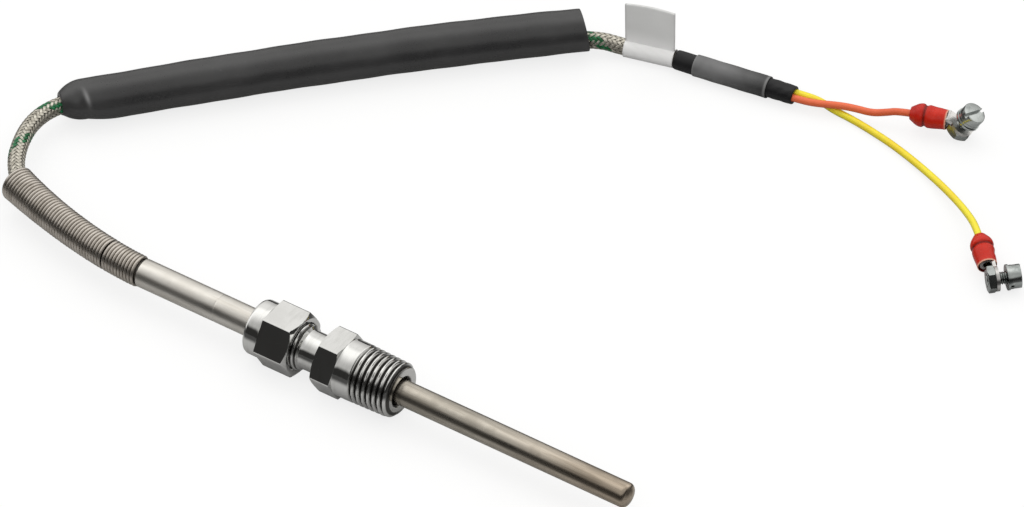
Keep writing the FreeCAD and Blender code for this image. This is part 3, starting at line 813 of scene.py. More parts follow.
@dataclass(frozen=True)
class PlasticFinish(Finish):
    """A moulded, extruded or shrunk plastic or rubber, a film, a ceramic or a resin.

    It turns to its second colour by the mesh's marks, and by the depths to painted shade in hollows, and to pale
    rims on the marker.
    """

    colour: Colour3
    shade: Colour3
    dust: Colour3
    roughness: float
    grain: float
    bump: float
    coat: float = 0.0
    specular: float = 0.5
    subsurface: float = 0.0
    second: Colour3 | None = None
    painted_shade_and_rim: Colour3 | None = None

    def write(self, nodes: Nodes, shader: bpy.types.Node) -> None:
        """Write grained plastic, with its second colour and its colour by depth.

        Args:
            nodes: the material's node writer.
            shader: its shader.
        """
        plastic = nodes.add(
            "ShaderNodeGroup",
            {"node_tree": GROUPS["plastic"]},
            Vector=nodes.add("ShaderNodeTexCoord").outputs["Object"],
            Colour=four(self.colour),
            Shade=four(self.shade),
            Dust=four(self.dust),
            Grain=self.grain,
            Roughness=self.roughness,
        )
        colour = plastic.outputs["Colour"]
        # the second colour paints a highlight on the sleeve and light on the label; the depth colour paints shade in
        # the insulator's hollows and pale rims on the marker
        for label, other in (("mark", self.second), ("depth", self.painted_shade_and_rim)):
            if other is not None:
                colour = nodes.blend(nodes.value(label), colour, four(other))
        nodes.feed(
            shader,
            Base_Color=colour,
            Roughness=plastic.outputs["Roughness"],
            Normal=nodes.bump(plastic.outputs["Height"], self.bump, 0.3 * MM),
            Specular_IOR_Level=self.specular,
            Coat_Weight=self.coat,
            Coat_Roughness=0.12,
            Subsurface_Weight=self.subsurface,
            Subsurface_Radius=(1.2 * MM, 0.3 * MM, 0.2 * MM),
        )


@dataclass(frozen=True)
class BraidFinish(Finish):
    """Bundles of fine bright wires, and coloured tracer threads among them.

    The mark on the mesh is 1 on tracer threads, and the depth is 1 between the wires, where painted shade darkens
    both.
    """

    wire: Colour3
    shade: Colour3
    deep: Colour3
    tracer: Colour3
    tracer_light: Colour3
    tracer_gap_shade: Colour3

    def write(self, nodes: Nodes, shader: bpy.types.Node) -> None:
        """Write blotched steel and blotched thread, both painted darker as shade where they lie deep.

        Args:
            nodes: the material's node writer.
            shader: its shader.
        """
        mark, depth = nodes.value("mark"), nodes.value("depth")
        blotch = nodes.noise(nodes.add("ShaderNodeTexCoord").outputs["Object"], 900.0, 2.0, 0.6)
        dull = nodes.spread(blotch, 0.45, 0.75, 0.0, 0.7)
        steel = nodes.blend(dull, four(self.wire), four(self.shade))
        steel = nodes.blend(nodes.math("MULTIPLY", depth, 0.92), steel, four(self.deep))
        pale = nodes.spread(blotch, 0.4, 0.65, 0.0, 1.0)
        thread = nodes.blend(pale, four(self.tracer), four(self.tracer_light))
        thread = nodes.blend(nodes.math("MULTIPLY", depth, 0.6), thread, four(self.tracer_gap_shade))
        nodes.feed(
            shader,
            Base_Color=nodes.blend(mark, steel, thread),
            Metallic=nodes.math("SUBTRACT", 1.0, mark),
            Roughness=nodes.spread(blotch, 0.3, 0.7, 0.18, 0.38),
            Normal=nodes.bump(blotch, 0.3, 0.1 * MM),
        )


# the sheath's depth colour is painted shade, dark where the sheath goes into the fitting's mouth
SHEATH_STEEL = MetalFinish(
    "sheath_steel", (0.57, 0.53, 0.465), (0.31, 0.28, 0.235),
    roughness=0.27, spread=0.16, streaks=(35.0, 700.0, 700.0), bump=0.05,
    tint=(0.88, 0.78, 0.69), tint_from=20.0, tint_to=62.0, painted_shade_and_rim=(0.03, 0.027, 0.024),
)
# painted shade darkens the threads' roots, the mouth round the sheath and the nut's groove
FITTING_STEEL = MetalFinish(
    "fitting_steel", (0.80, 0.80, 0.79), (0.68, 0.68, 0.665),
    roughness=0.07, spread=0.07, streaks=(500.0, 120.0, 120.0), bump=0.012,
    painted_shade_and_rim=(0.04, 0.037, 0.033), painted_shade_from=0.24,
)
TUBE_STEEL = MetalFinish(
    "tube_steel", (0.80, 0.775, 0.73), (0.64, 0.61, 0.56),
    roughness=0.34, spread=0.14, streaks=(45.0, 800.0, 800.0), bump=0.04,
)
SPRING_STEEL = MetalFinish(
    "spring_steel", (0.62, 0.575, 0.525), (0.46, 0.42, 0.37),
    roughness=0.30, spread=0.15, streaks=(300.0, 300.0, 300.0), bump=0.03, painted_shade_and_rim=(0.10, 0.09, 0.08),
)
TINNED = MetalFinish(
    "tinned_metal", (0.74, 0.73, 0.72), (0.52, 0.51, 0.49),
    roughness=0.28, spread=0.15, streaks=(300.0, 300.0, 300.0), bump=0.05,
)
ZINC = MetalFinish(
    "screw_zinc", (0.54, 0.57, 0.56), (0.31, 0.335, 0.33),
    roughness=0.18, spread=0.18, streaks=(400.0, 400.0, 400.0), bump=0.05, painted_shade_and_rim=(0.05, 0.05, 0.048),
)
ELEMENT = MetalFinish(
    "element_metal", (0.62, 0.60, 0.57), (0.50, 0.47, 0.43),
    roughness=0.35, spread=0.15, streaks=(40.0, 900.0, 900.0), bump=0.05,
)
# the braid's deep colours are painted shade between and under the bundles
BRAID = BraidFinish(
    "braid_steel", wire=(0.84, 0.80, 0.70), shade=(0.36, 0.33, 0.27), deep=(0.03, 0.026, 0.019),
    tracer=(0.004, 0.095, 0.026), tracer_light=(0.012, 0.20, 0.072), tracer_gap_shade=(0.002, 0.03, 0.009),
)
CORE = PlasticFinish(
    "cable_core", (0.05, 0.045, 0.036), (0.08, 0.07, 0.055), (0.1, 0.09, 0.07),
    roughness=0.5, grain=1400.0, bump=0.3,
)
# the sleeve's second colour is a painted highlight on its fold
SLEEVE = PlasticFinish(
    "sleeve_rubber", (0.030, 0.030, 0.031), (0.040, 0.040, 0.041), (0.07, 0.07, 0.072),
    roughness=0.32, grain=1300.0, bump=0.05, specular=0.62, second=(0.20, 0.20, 0.205),
)
BOOT = PlasticFinish(
    "boot_plastic", (0.009, 0.009, 0.010), (0.014, 0.014, 0.015), (0.02, 0.02, 0.021),
    roughness=0.42, grain=1100.0, bump=0.12, specular=0.3,
)
MARKER = PlasticFinish(
    "marker_film", (0.165, 0.166, 0.168), (0.10, 0.10, 0.102), (0.2, 0.2, 0.2),
    roughness=0.42, grain=700.0, bump=0.06, coat=0.1, specular=0.4,
    second=(0.022, 0.022, 0.023), painted_shade_and_rim=(0.22, 0.22, 0.22),
)
# the label's second colour is painted light, on its wrap and the flag's lower part
LABEL = PlasticFinish(
    "label_film", (0.78, 0.785, 0.78), (0.82, 0.825, 0.82), (0.86, 0.86, 0.86),
    roughness=0.38, grain=600.0, bump=0.03, coat=0.15, second=(0.93, 0.93, 0.93),
)
ORANGE = PlasticFinish(
    "orange_plastic", (0.80, 0.15, 0.055), (0.70, 0.115, 0.042), (0.84, 0.22, 0.11),
    roughness=0.42, grain=900.0, bump=0.04,
)
YELLOW = PlasticFinish(
    "yellow_plastic", (0.88, 0.77, 0.035), (0.86, 0.65, 0.025), (0.90, 0.78, 0.12),
    roughness=0.40, grain=900.0, bump=0.04,
)
INSULATOR = PlasticFinish(
    "insulator_plastic", (0.58, 0.024, 0.010), (0.44, 0.012, 0.007), (0.62, 0.06, 0.035),
    roughness=0.26, grain=700.0, bump=0.08, specular=0.28, subsurface=0.1,
    second=(0.78, 0.42, 0.30), painted_shade_and_rim=(0.10, 0.006, 0.005),
)
CERAMIC = PlasticFinish(
    "oxide_ceramic", (0.78, 0.77, 0.73), (0.70, 0.69, 0.65), (0.8, 0.8, 0.78),
    roughness=0.6, grain=1200.0, bump=0.1,
)
GLASS_SEAL = PlasticFinish(
    "seal_glass", (0.20, 0.25, 0.23), (0.15, 0.19, 0.18), (0.3, 0.33, 0.32),
    roughness=0.2, grain=900.0, bump=0.03,
)
RESIN = PlasticFinish(
    "potting_resin", (0.08, 0.07, 0.06), (0.05, 0.045, 0.04), (0.12, 0.11, 0.10),
    roughness=0.45, grain=900.0, bump=0.08,
)


def settle(
    thing: bpy.types.Object,
    body: Body,
    finish: Finish,
    node: str | None = None,
) -> bpy.types.Object:
    """Dress a new piece, let it ride on its body, hide the node that it replaces and log the body.

    Args:
        thing: the piece.
        body: the body that it moves with.
        finish: its finish.
        node: the node that it replaces, where it does.

    Returns:
        The piece.
    """
    dress(thing, finish.material())
    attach(thing, body.value)
    if node is not None:
        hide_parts(node)
    LOG.info("piece %s rides on %s", thing.name, body.value)
    return thing


# Sub-assemblies


@dataclass
class Probe:
    """The sheath with its closed tip, and the back tube behind the fitting."""

    columns: int = 128
    sheath_r: float = 3.0
    bore_r: float = 2.2
    root_r: float = 2.7
    root: float = -12.0
    tip: float = 62.5
    tip_rounding: float = 1.15
    tip_rise: float = 0.5
    tip_wall: float = 1.2
    weld_step: float = 0.12
    shoulder_gap: float = 0.04
    shoulder_chamfer: float = 0.05
    mouth_shade: tuple[float, float] = (-0.6, 0.35)
    tube_r: float = 3.4
    tube_bore_r: float = 2.75
    tube_front: float = -1.5
    tube_back: float = -71.4
    tube_wall: float = 1.0
    front_chamfer: float = 0.2
    back_chamfer: float = 0.25
    spigot_r: float = 2.75
    spigot_back: float = -75.5
    spigot_chamfer: float = 0.3
    cable_hole_r: float = 2.05
    ring_line: float = -50.0
    line_depth: float = 0.04
    line_half: float = 0.22
    line_floor: float = 0.1

    def build_sheath(self) -> bpy.types.Object:
        """The sheath: its outline turned, with a rounded shoulder and a low dome over the weld at its tip.

        Returns:
            The sheath.
        """
        tip, edge = self.tip, self.tip_rounding
        turn = np.linspace(np.pi / 2, 0.3, 9)
        centre = (tip - self.tip_rise - edge, self.sheath_r - edge)
        rounded = np.stack([np.cos(turn), np.sin(turn)], axis=-1) * edge + centre
        button = rounded[-1, 1] - self.weld_step
        dome = np.linspace(1, 0, 9)[:-1]
        cap = np.stack([tip - self.tip_rise * dome**2, button * dome], axis=-1)
        outline = [
            (self.root, self.root_r),
            (self.tube_front - self.shoulder_gap, self.root_r),
            (self.tube_front, self.sheath_r - self.shoulder_chamfer),
            (self.tube_front + self.shoulder_chamfer, self.sheath_r),
            *map(tuple, rounded),
            *map(tuple, cap),
            (tip, 0.0),
            (tip - self.tip_wall, 0.0),
            (tip - self.tip_wall, self.bore_r),
            (self.root, self.bore_r),
        ]
        # painted shade: the sheath is dark from inside the fitting to just out of its mouth
        surface = turned(
            refined(np.array(outline), lambda middle: 0.5 if middle[0] < 1 else 2.0),
            self.columns,
            depth=lambda x, radius, angle: 1 - smooth_step(x, *self.mouth_shade),
        )
        return settle(surface.to_object("sheath_tube"), Body.SENSOR, SHEATH_STEEL, "probe_sheath")

    def build_tube(self) -> bpy.types.Object:
        """The back tube: its outline turned, with one faint rolled line and the spigot for the spring.

        Returns:
            The tube.
        """
        line, line_r = self.ring_line, self.tube_r - self.line_depth
        inside = self.tube_back + self.tube_wall
        outline = [
            (self.spigot_back, self.cable_hole_r),
            (self.spigot_back, self.spigot_r - self.spigot_chamfer),
            (self.spigot_back + self.spigot_chamfer, self.spigot_r),
            (self.tube_back, self.spigot_r),
            (self.tube_back, self.tube_r - self.back_chamfer),
            (self.tube_back + self.back_chamfer, self.tube_r),
            (line - self.line_half, self.tube_r),
            (line - self.line_floor, line_r),
            (line + self.line_floor, line_r),
            (line + self.line_half, self.tube_r),
            (self.tube_front - self.front_chamfer, self.tube_r),
            (self.tube_front, self.tube_r - self.front_chamfer),
            (self.tube_front, self.tube_bore_r),
            (inside, self.tube_bore_r),
            (inside, self.cable_hole_r),
        ]
        surface = turned(refined(softened(outline, 0.06, 3), lambda middle: 2.0), self.columns)
        return settle(surface.to_object("back_tube_turned"), Body.SENSOR, TUBE_STEEL, "back_tube")


@dataclass
class Fitting:
    """The compression fitting: the body with its pipe thread and the nut behind it.

    The fields whose names end in _step say how finely an outline is cut.
    """

    columns: int = 276
    sharp: float = 24.0
    bore_r: float = 3.45
    bore_step: float = 4.0
    mouth_chamfer: float = 0.5
    end_r: float = 6.6
    end_chamfer: float = 0.9
    taper: float = 16.0
    pipe_pitch: float = 1.411
    pipe_phase: float = 0.715
    pipe_depth: float = 0.92
    pipe_crest: float = 0.2
    pipe_run_out: float = 1.6
    thread_back: float = -11.2
    thread_step: float = 0.1
    shoulder_r: float = 6.925
    shoulder_step: float = 0.8
    outside_r: float = 5.0
    across: float = 14.0
    hex_front: float = -14.6
    hex_front_r: float = 7.2
    hex_front_chamfer: float = 0.24
    hex_back: float = -20.3
    hex_back_r: float = 6.9
    hex_back_chamfer: float = 0.5
    hex_step: float = 0.14
    neck_r: float = 4.7
    neck_back: float = -25.3
    stem_r: float = 5.55
    stem_back: float = -34.5
    stem_pitch: float = 1.27
    stem_depth: float = 0.6
    stem_chamfer: float = 0.6
    stem_outside_r: float = 4.86
    seat_r: float = 4.85
    seat_length: float = 3.9
    nut_front: float = -27.1
    nut_front_r: float = 6.75
    nut_front_chamfer: float = 0.85
    nut_back: float = -39.6
    nut_bore_r: float = 3.5
    nut_outside_r: float = 6.0
    nut_play: float = 0.1
    collar_front: float = -35.3
    collar_front_r: float = 7.9
    collar_front_chamfer: float = 0.12
    collar_r: float = 6.65
    groove_depth: float = 0.25
    collar_step: float = 0.6
    room_r: float = 4.9
    room_front: float = -35.2
    room_back: float = -37.4

    @property
    def corner_r(self) -> float:
        """How far a hexagon's sharp corner reaches."""
        return self.across / math.sqrt(3)

    def on_pipe(self, x: Array, radius: Array) -> Array:
        """Where the outside of the pipe thread is."""
        return (x > self.thread_back) & (radius > self.outside_r)

    def on_stem(self, x: Array, radius: Array) -> Array:
        """Where the outside of the stem is."""
        return (x < self.neck_back) & (radius > self.stem_outside_r)

    def pipe_share(self, x: Array, angle: Array) -> Array:
        """How deep the pipe thread is cut: its V, fading out towards the shoulder."""
        run_out = 1 - smooth_step(-x, -self.thread_back - self.pipe_run_out, -self.thread_back)
        return run_out * thread_depth(x + self.pipe_phase, angle, self.pipe_pitch, self.pipe_crest)

    def stem_share(self, x: Array, angle: Array) -> Array:
        """How deep the stem's thread is cut: its V, fading out towards the neck."""
        run_out = 1 - smooth_step(x, self.neck_back - 0.5, self.neck_back - 0.1)
        return run_out * thread_depth(x, angle, self.stem_pitch)

    def body_shape(self, x: Array, radius: Array, angle: Array) -> Array:
        """Flats on the hexagon, the taper thread in front and the fine thread on the stem.

        Args:
            x: distance along the axis.
            radius: the outline's radius.
            angle: angle round the axis.

        Returns:
            The least of the outline, the hexagon and the threads.
        """
        in_hex = (x < self.hex_front + HAIR) & (x > self.hex_back - HAIR) & (radius > self.outside_r)
        flats = np.where(in_hex, hexagon_radius(angle, self.across), NO_CUT)
        crest = self.end_r + np.maximum(-x, 0) / self.taper / 2
        pipe = crest - self.pipe_depth * self.pipe_share(x, angle)
        pipe = np.where(self.on_pipe(x, radius), pipe, NO_CUT)
        stem = self.stem_r - self.stem_depth * self.stem_share(x, angle)
        stem = np.where(self.on_stem(x, radius), stem, NO_CUT)
        return np.minimum(np.minimum(radius, flats), np.minimum(pipe, stem))

    def body_depth(self, x: Array, radius: Array, angle: Array) -> Array:
        """Where painted shade lies on the body, in the threads' roots and the mouth.

        Args:
            x: distance along the axis.
            radius: the body's radius.
            angle: angle round the axis.

        Returns:
            The threads' shares, and 1 in the mouth round the sheath.
        """
        pipe = np.where(self.on_pipe(x, radius), self.pipe_share(x, angle), 0.0)
        stem = np.where(self.on_stem(x, radius), self.stem_share(x, angle), 0.0)
        mouth = 1 - smooth_step(radius, self.bore_r + 0.3, self.bore_r + 0.55)
        return np.maximum(np.maximum(pipe, stem), mouth)

    def body_step(self, middle: Array) -> float:
        """How finely the body's outline is cut: finest on the threads and the hexagon's chamfers.

        Args:
            middle: the middle of one of the outline's edges.

        Returns:
            The longest piece that the edge may be cut into.
        """
        x, radius = middle
        if radius < self.neck_r - 0.1:
            return self.bore_step
        if x > self.thread_back or x < self.neck_back:
            return self.thread_step
        return self.hex_step if self.hex_back - 0.1 < x < self.hex_front + 0.1 else self.shoulder_step

    def build_body(self) -> bpy.types.Object:
        """The body: a closed outline turned, with flats and threads.

        Returns:
            The body.
        """
        outline = [
            (self.stem_back + self.seat_length, self.bore_r),
            (self.stem_back, self.seat_r),
            (self.stem_back, self.stem_r - self.stem_chamfer),
            (self.stem_back + self.stem_chamfer, self.stem_r),
            (self.neck_back - self.stem_chamfer, self.stem_r),
            (self.neck_back, self.neck_r),
            (self.hex_back, self.neck_r),
            (self.hex_back, self.hex_back_r),
            (self.hex_back + self.hex_back_chamfer, self.corner_r),
            (self.hex_front - self.hex_front_chamfer, self.corner_r),
            (self.hex_front, self.hex_front_r),
            (self.hex_front, self.shoulder_r),
            (self.thread_back, self.shoulder_r),
            (-self.end_chamfer, self.end_r + 0.03),
            (0.0, self.end_r - self.end_chamfer),
            (0.0, self.bore_r + self.mouth_chamfer),
            (-self.mouth_chamfer, self.bore_r),
        ]
        cut = refined(softened(outline, 0.09, 3), self.body_step)
        surface = turned(cut, self.columns, self.body_shape, self.body_depth)
        thing = surface.to_object("fitting_body_turned", self.sharp)
        return settle(thing, Body.SENSOR, FITTING_STEEL, "fitting_body")

    def nut_shape(self, x: Array, radius: Array, angle: Array) -> Array:
        """Flats on the nut's hexagon.

        Args:
            x: distance along the axis.
            radius: the outline's radius.
            angle: angle round the axis.

        Returns:
            The lesser of the outline and the hexagon.
        """
        in_hex = (x > self.collar_front - HAIR) & (radius > self.nut_outside_r)
        return np.minimum(radius, np.where(in_hex, hexagon_radius(angle, self.across), NO_CUT))

    def nut_depth(self, x: Array, radius: Array, angle: Array) -> Array:
        """Where painted shade lies on the nut: in the groove between the collar and the hexagon."""
        near = (x < self.collar_front) & (x > self.collar_front - 0.3)
        return near & (radius < self.collar_r - 0.05) & (radius > self.nut_outside_r)

    def nut_step(self, middle: Array) -> float:
        """How finely the nut's outline is cut: finer on the hexagon.

        Args:
            middle: the middle of one of the outline's edges.

        Returns:
            The longest piece that the edge may be cut into.
        """
        x, radius = middle
        in_hex = radius > self.nut_outside_r and x > self.collar_front - 0.1
        return self.hex_step if in_hex else self.collar_step

    def build_nut(self) -> bpy.types.Object:
        """The nut: a round collar, a hexagon with chamfers, the threaded mouth and the tail's bore.

        Returns:
            The nut.
        """
        mouth = self.stem_r + self.nut_play
        groove = self.collar_r - self.groove_depth
        outline = [
            (self.nut_back, self.nut_bore_r),
            (self.nut_back, self.collar_r - 0.75),
            (self.nut_back + 0.3, self.collar_r - 0.2),
            (self.nut_back + 0.8, self.collar_r),
            (self.collar_front - 0.35, self.collar_r),
            (self.collar_front - 0.2, groove),
            (self.collar_front, groove),
            (self.collar_front, self.collar_front_r),
            (self.collar_front + self.collar_front_chamfer, self.corner_r),
            (self.nut_front - self.nut_front_chamfer, self.corner_r),
            (self.nut_front, self.nut_front_r),
            (self.nut_front, mouth + 0.25),
            (self.nut_front - 0.3, mouth),
            (self.room_front, mouth),
            (self.room_front, self.room_r),
            (self.room_back, self.room_r),
            (self.room_back, self.nut_bore_r),
        ]
        cut = refined(softened(outline, 0.1, 3), self.nut_step)
        surface = turned(cut, self.columns, self.nut_shape, self.nut_depth)
        thing = surface.to_object("compression_nut_turned", self.sharp)
        return settle(thing, Body.NUT, FITTING_STEEL, "compression_nut")


@dataclass
class StrainRelief:
    """The close-wound spring: straight on its spigot, then bent, and wider at its mouth."""

    start: float = -71.5
    length: float = 42.8
    bend: float = math.radians(20.5)
    outer_r: float = 3.7
    mouth_r: float = 4.35
    wire_r: float = 0.425
    wire_sides: int = 10
    pitch: float = 0.885
    waver: float = 0.012
    seed: int = 4
    gap_turn: float = 9.4
    gap_reach: float = 0.8
    gap: float = 0.34
    turn_steps: int = 30
    end_turn: float = 0.72

    def axis(self) -> Path:
        """The spring's axis: a level line whose heading turns evenly, and a little sooner near the tube.

        Returns:
            The axis, from the tube's shoulder to the mouth.
        """
        distance = np.linspace(0, self.length, 401)
        turn = self.bend * (distance / self.length) ** 0.7
        heading = np.stack([-np.cos(turn), np.sin(turn), np.zeros_like(turn)], axis=-1)
        steps = (heading[1:] + heading[:-1]) / 2 * np.diff(distance)[:, None]
        points = np.concatenate([np.zeros((1, 3)), np.cumsum(steps, axis=0)])
        return Path(points + np.array([self.start, 0.0, 0.0]))

    def build(self) -> bpy.types.Object:
        """The spring's wire: a round section carried along a helix about the axis.

        Returns:
            The spring. One gap is a little open, by the bend.
        """
        turns = (self.length - 2 * self.wire_r - self.gap) / self.pitch
        count = np.linspace(0, turns, int(turns * self.turn_steps))
        whole = np.arange(int(turns) + 3)
        drawn = np.random.default_rng(self.seed).normal(0, self.waver, len(whole))
        opened = self.gap * smooth_step(count, self.gap_turn, self.gap_turn + self.gap_reach)
        distance = self.wire_r + count * self.pitch + opened
        place, _, side, up = self.axis().frames(distance)
        share = distance / self.length
        flare = (self.mouth_r - self.outer_r) * (0.4 * share + 0.6 * share**4)
        radius = self.outer_r + flare - self.wire_r + np.interp(count, whole, drawn)
        angle = ((count - turns + self.end_turn) * 2 * np.pi)[:, None]
        outward = side * np.cos(angle) + up * np.sin(angle)
        centres = place + outward * radius[:, None]
        turn = ring_angles(self.wire_sides)
        section = self.wire_r * np.stack([np.cos(turn), np.sin(turn)], axis=-1)
        # painted shade: the wire's sides and inside, between the turns, are marked deep and painted dark
        sunk = np.broadcast_to(np.clip(1 - np.cos(turn), 0, 1), (1, len(count), len(turn)))
        surface = strands_surface(swept(centres[None], outward[None], section), np.zeros(1), sunk)
        thing = surface.to_object("strain_relief_wire", 60.0)
        return settle(thing, Body.SENSOR, SPRING_STEEL, "strain_relief_spring")


CABLE_POINTS: tuple[Point, ...] = (
    (-70.5, 0.0, 0.0),
    (-78.5, 0.0, 0.0),
    (-95.0, 3.0, 0.0),
    (-110.8, 8.1, 0.0),
    (-116.3, 13.2, -0.3),
    (-120.4, 20.6, -0.8),
    (-122.8, 28.6, -1.3),
    (-122.3, 36.2, -1.8),
    (-117.6, 43.9, -1.8),
    (-106.0, 56.6, -2.6),
    (-84.0, 80.9, -3.5),
    (-60.5, 105.6, -3.6),
    (-45.5, 119.7, -3.6),
    (-34.2, 128.3, -3.7),
    (-28.0, 130.2, -4.5),
    (-17.5, 133.0, -4.45),
    (-9.0, 134.45, -4.45),
)

SLEEVE_POINTS: tuple[Point, ...] = (
    (-121.23, 37.96, -1.8),
    (-103.0, 59.3, -1.8),
    (-77.2, 87.8, -1.8),
    (-50.0, 115.7, -1.8),
    (-37.0, 127.2, -1.8),
)

ORANGE_POINTS: tuple[Point, ...] = (
    (7.56, 136.26, -4.45),
    (15.69, 137.65, -4.45),
    (19.5, 138.6, -4.2),
    (24.2, 141.0, -4.2),
    (27.8, 142.2, -4.2),
    (31.7, 142.9, -4.1),
    (34.4, 144.2, -3.6),
    (37.55, 145.79, -2.73),
    (43.57, 147.82, -2.73),
)

YELLOW_POINTS: tuple[Point, ...] = (
    (7.22, 138.23, -4.45),
    (15.35, 139.62, -4.45),
    (18.8, 140.9, -5.3),
    (22.8, 140.7, -6.1),
    (27.6, 140.5, -6.15),
    (33.6, 139.7, -6.15),
    (41.6, 138.2, -6.15),
    (52.1, 134.9, -5.9),
    (61.3, 130.7, -4.9),
    (69.1, 125.8, -3.1),
    (75.13, 121.04, -1.56),
    (79.63, 116.67, -2.55),
)


def stretch_place(first: int, ahead: float) -> Place:
    """A frame on one of the cable's straight stretches.

    Args:
        first: the number of the control point where the stretch starts.
        ahead: how far along the stretch the frame's origin is.

    Returns:
        The frame: +X along the stretch, +Z up.
    """
    start, end = np.array(CABLE_POINTS[first]), np.array(CABLE_POINTS[first + 1])
    heading = unit(end - start)
    return Place.along(start + ahead * heading, heading, UP)


@dataclass
class Sleeve:
    """The thick sleeve, drawn in on the cable at one end and cut off at the other.

    Its angles go from its level side axis over the top.
    """

    columns: int = 96
    radius: float = 5.2
    wall: float = 1.0
    shrunk: float = 5.5
    neck_r: float = 2.95
    neck_bore_r: float = 2.2
    fold_at: float = 5.6
    fold_angle: float = 2.55
    fold_slant: float = 0.9
    highlight_angle: float = 2.3
    under_angle: float = 4.0
    under_slim: float = 0.4
    under_neck: float = 0.6
    under_reach: float = 9.0
    cut_angle: float = 0.855
    cut_slant: float = 0.75

    def dome(self, t: Array, low: Array | float, high: float, reach: Array | float) -> Array:
        """The drawn-in end: a circle's arc, level where it meets the full radius.

        Args:
            t: distance along the sleeve.
            low: the neck's radius.
            high: the full radius.
            reach: how far the arc reaches.

        Returns:
            The radius at each place.
        """
        bow = (reach**2 + (high - low) ** 2) / (2 * (high - low))
        return high - bow + np.sqrt(bow**2 - (reach - np.minimum(t, reach)) ** 2)

    def build(self) -> bpy.types.Object:
        """Rings along the sleeve's line, with a drawn-in end, a soft fold behind it and slight waves.

        Returns:
            The sleeve.
        """
        path = Path.smooth(SLEEVE_POINTS)
        length, bore = path.length, self.radius - self.wall
        outer_t = np.concatenate([np.linspace(0, 14, 57), np.linspace(14.6, length - 0.35, 190)])
        edge_t = length - np.array([0.16, 0.04, 0.0, 0.0, 0.04, 0.3])
        edge_r = np.concatenate([self.radius - np.array([0.02, 0.1, 0.3]), bore + np.array([0.25, 0.06, 0.0])])
        inner_t = np.concatenate([np.linspace(length - 0.8, 12, 60), np.linspace(11.5, 0, 24)])
        along = np.concatenate([outer_t, edge_t, inner_t])
        t, angle = outer_t[:, None], ring_angles(self.columns)[None, :]
        below = hump(angle, self.under_angle, 0.95)
        slim = self.under_slim * below
        ridge = t - self.fold_at - self.fold_slant * (angle - self.fold_angle)
        # the fold is a ridge with a hollow before it, and runs at a slant round the sleeve
        crease = 0.30 * hump(ridge, 0.0, 0.6) - 0.32 * hump(ridge, -1.7, 1.0)
        fold = hump(angle, self.fold_angle, 0.75) * crease
        # two slow waves, lowered so that they stay inside the full radius and eased out at both ends
        waves = 0.045 * np.sin(t * 0.23 + 1.1 * np.cos(angle)) + 0.03 * np.sin(t * 0.61 + 2 * angle) - 0.045
        ease = smooth_step(t, 3.0, 12.0) * (1 - smooth_step(t, length - 6, length - 0.4))
        taper = slim * smooth_step(t, length - 16, length)
        drawn = self.dome(
            t, self.neck_r - self.under_neck * below, self.radius, self.shrunk + self.under_reach * below
        )
        inner_r = self.dome(inner_t, self.neck_bore_r, bore, self.shrunk)
        rest = np.concatenate([edge_r, inner_r])[:, None] * np.ones((1, self.columns))
        rest[:3] -= slim
        wide = np.concatenate([drawn + fold + waves * ease - taper, rest])
        high = np.where(np.sin(angle) < 0, np.minimum(wide, self.radius), wide)
        slant = smooth_step(along, length - 7, length)[:, None] * -self.cut_slant * np.cos(angle - self.cut_angle)
        grid = path.carry(along, wide, high, self.columns) + slant[..., None] * path.frames(along)[1][:, None]
        surface = Surface.from_grid(grid, close_rows=True)
        # a painted highlight: a pale crescent on the fold's ridge, in the sleeve's second colour
        painted_highlight = np.zeros_like(wide)
        painted_highlight[: len(outer_t)] = hump(angle, self.highlight_angle, 0.34) * hump(ridge, 0.1, 0.5)
        surface.marks = painted_highlight.reshape(-1)
        thing = surface.to_object("protective_sleeve_drawn", 50.0)
        return settle(thing, Body.SENSOR, SLEEVE, "protective_sleeve")


@dataclass
class Label:
    """The film label: wrapped once round the cable, its two leaves stuck together as a flag."""

    stretch: int = -3
    ahead: float = 0.25
    width: float = 12.0
    top: float = 8.9
    wrap_r: float = 2.15
    film: float = 0.13
    leaf_gap: float = 0.09
    leaf_spread: float = 0.07
    bow: float = 0.55
    lean: float = 0.35

    def build(self) -> bpy.types.Object:
        """One strip that comes down, goes round the cable and back up, a little bowed.

        Returns:
            The label.
        """
        height = self.top - CABLE_POINTS[self.stretch][2]
        rise = np.linspace(height, self.wrap_r + 0.5, 26)
        around = np.linspace(np.pi / 2 - 0.07, -3 * np.pi / 2 + 0.07, 49)
        leaf_y = self.leaf_gap + self.leaf_spread * ((rise - self.wrap_r) / height)
        y = np.concatenate([leaf_y, self.wrap_r * np.cos(around), -leaf_y[::-1]])
        z = np.concatenate([rise, self.wrap_r * np.sin(around), rise[::-1]])
        u = np.linspace(0, self.width, 25)[:, None]
        share = np.clip((z - self.wrap_r) / (height - self.wrap_r), 0, 1)[None, :]
        bowed = self.bow * share**2 * np.sin(u / self.width * np.pi)
        leaning = self.lean * share * (u / self.width - 0.5)
        grid = np.stack([u + 0 * y, y + bowed + leaning, z + 0 * u], axis=-1)
        surface = Surface.from_grid(grid, close_columns=False).placed(stretch_place(self.stretch, self.ahead))
        # painted light: the wrap and the flag's lower part are painted paler against the shade low on the flag, with
        # faint painted highlight streaks along the wrap
        painted_streak = 0.2 * np.sin(u * 1.7 + 6 * y) * (share < 0.02)
        pale = np.clip(1 - smooth_step(share, 0.02, 0.42) + painted_streak, 0, 1)
        surface.marks = np.broadcast_to(pale, grid.shape[:2]).reshape(-1)
        thing = surface.to_object("cable_label_film", 40.0)
        wall = thing.modifiers.new("film", "SOLIDIFY")
        wall.thickness = self.film * MM
        wall.offset = 0.0
        return settle(thing, Body.SENSOR, LABEL, "cable_label")


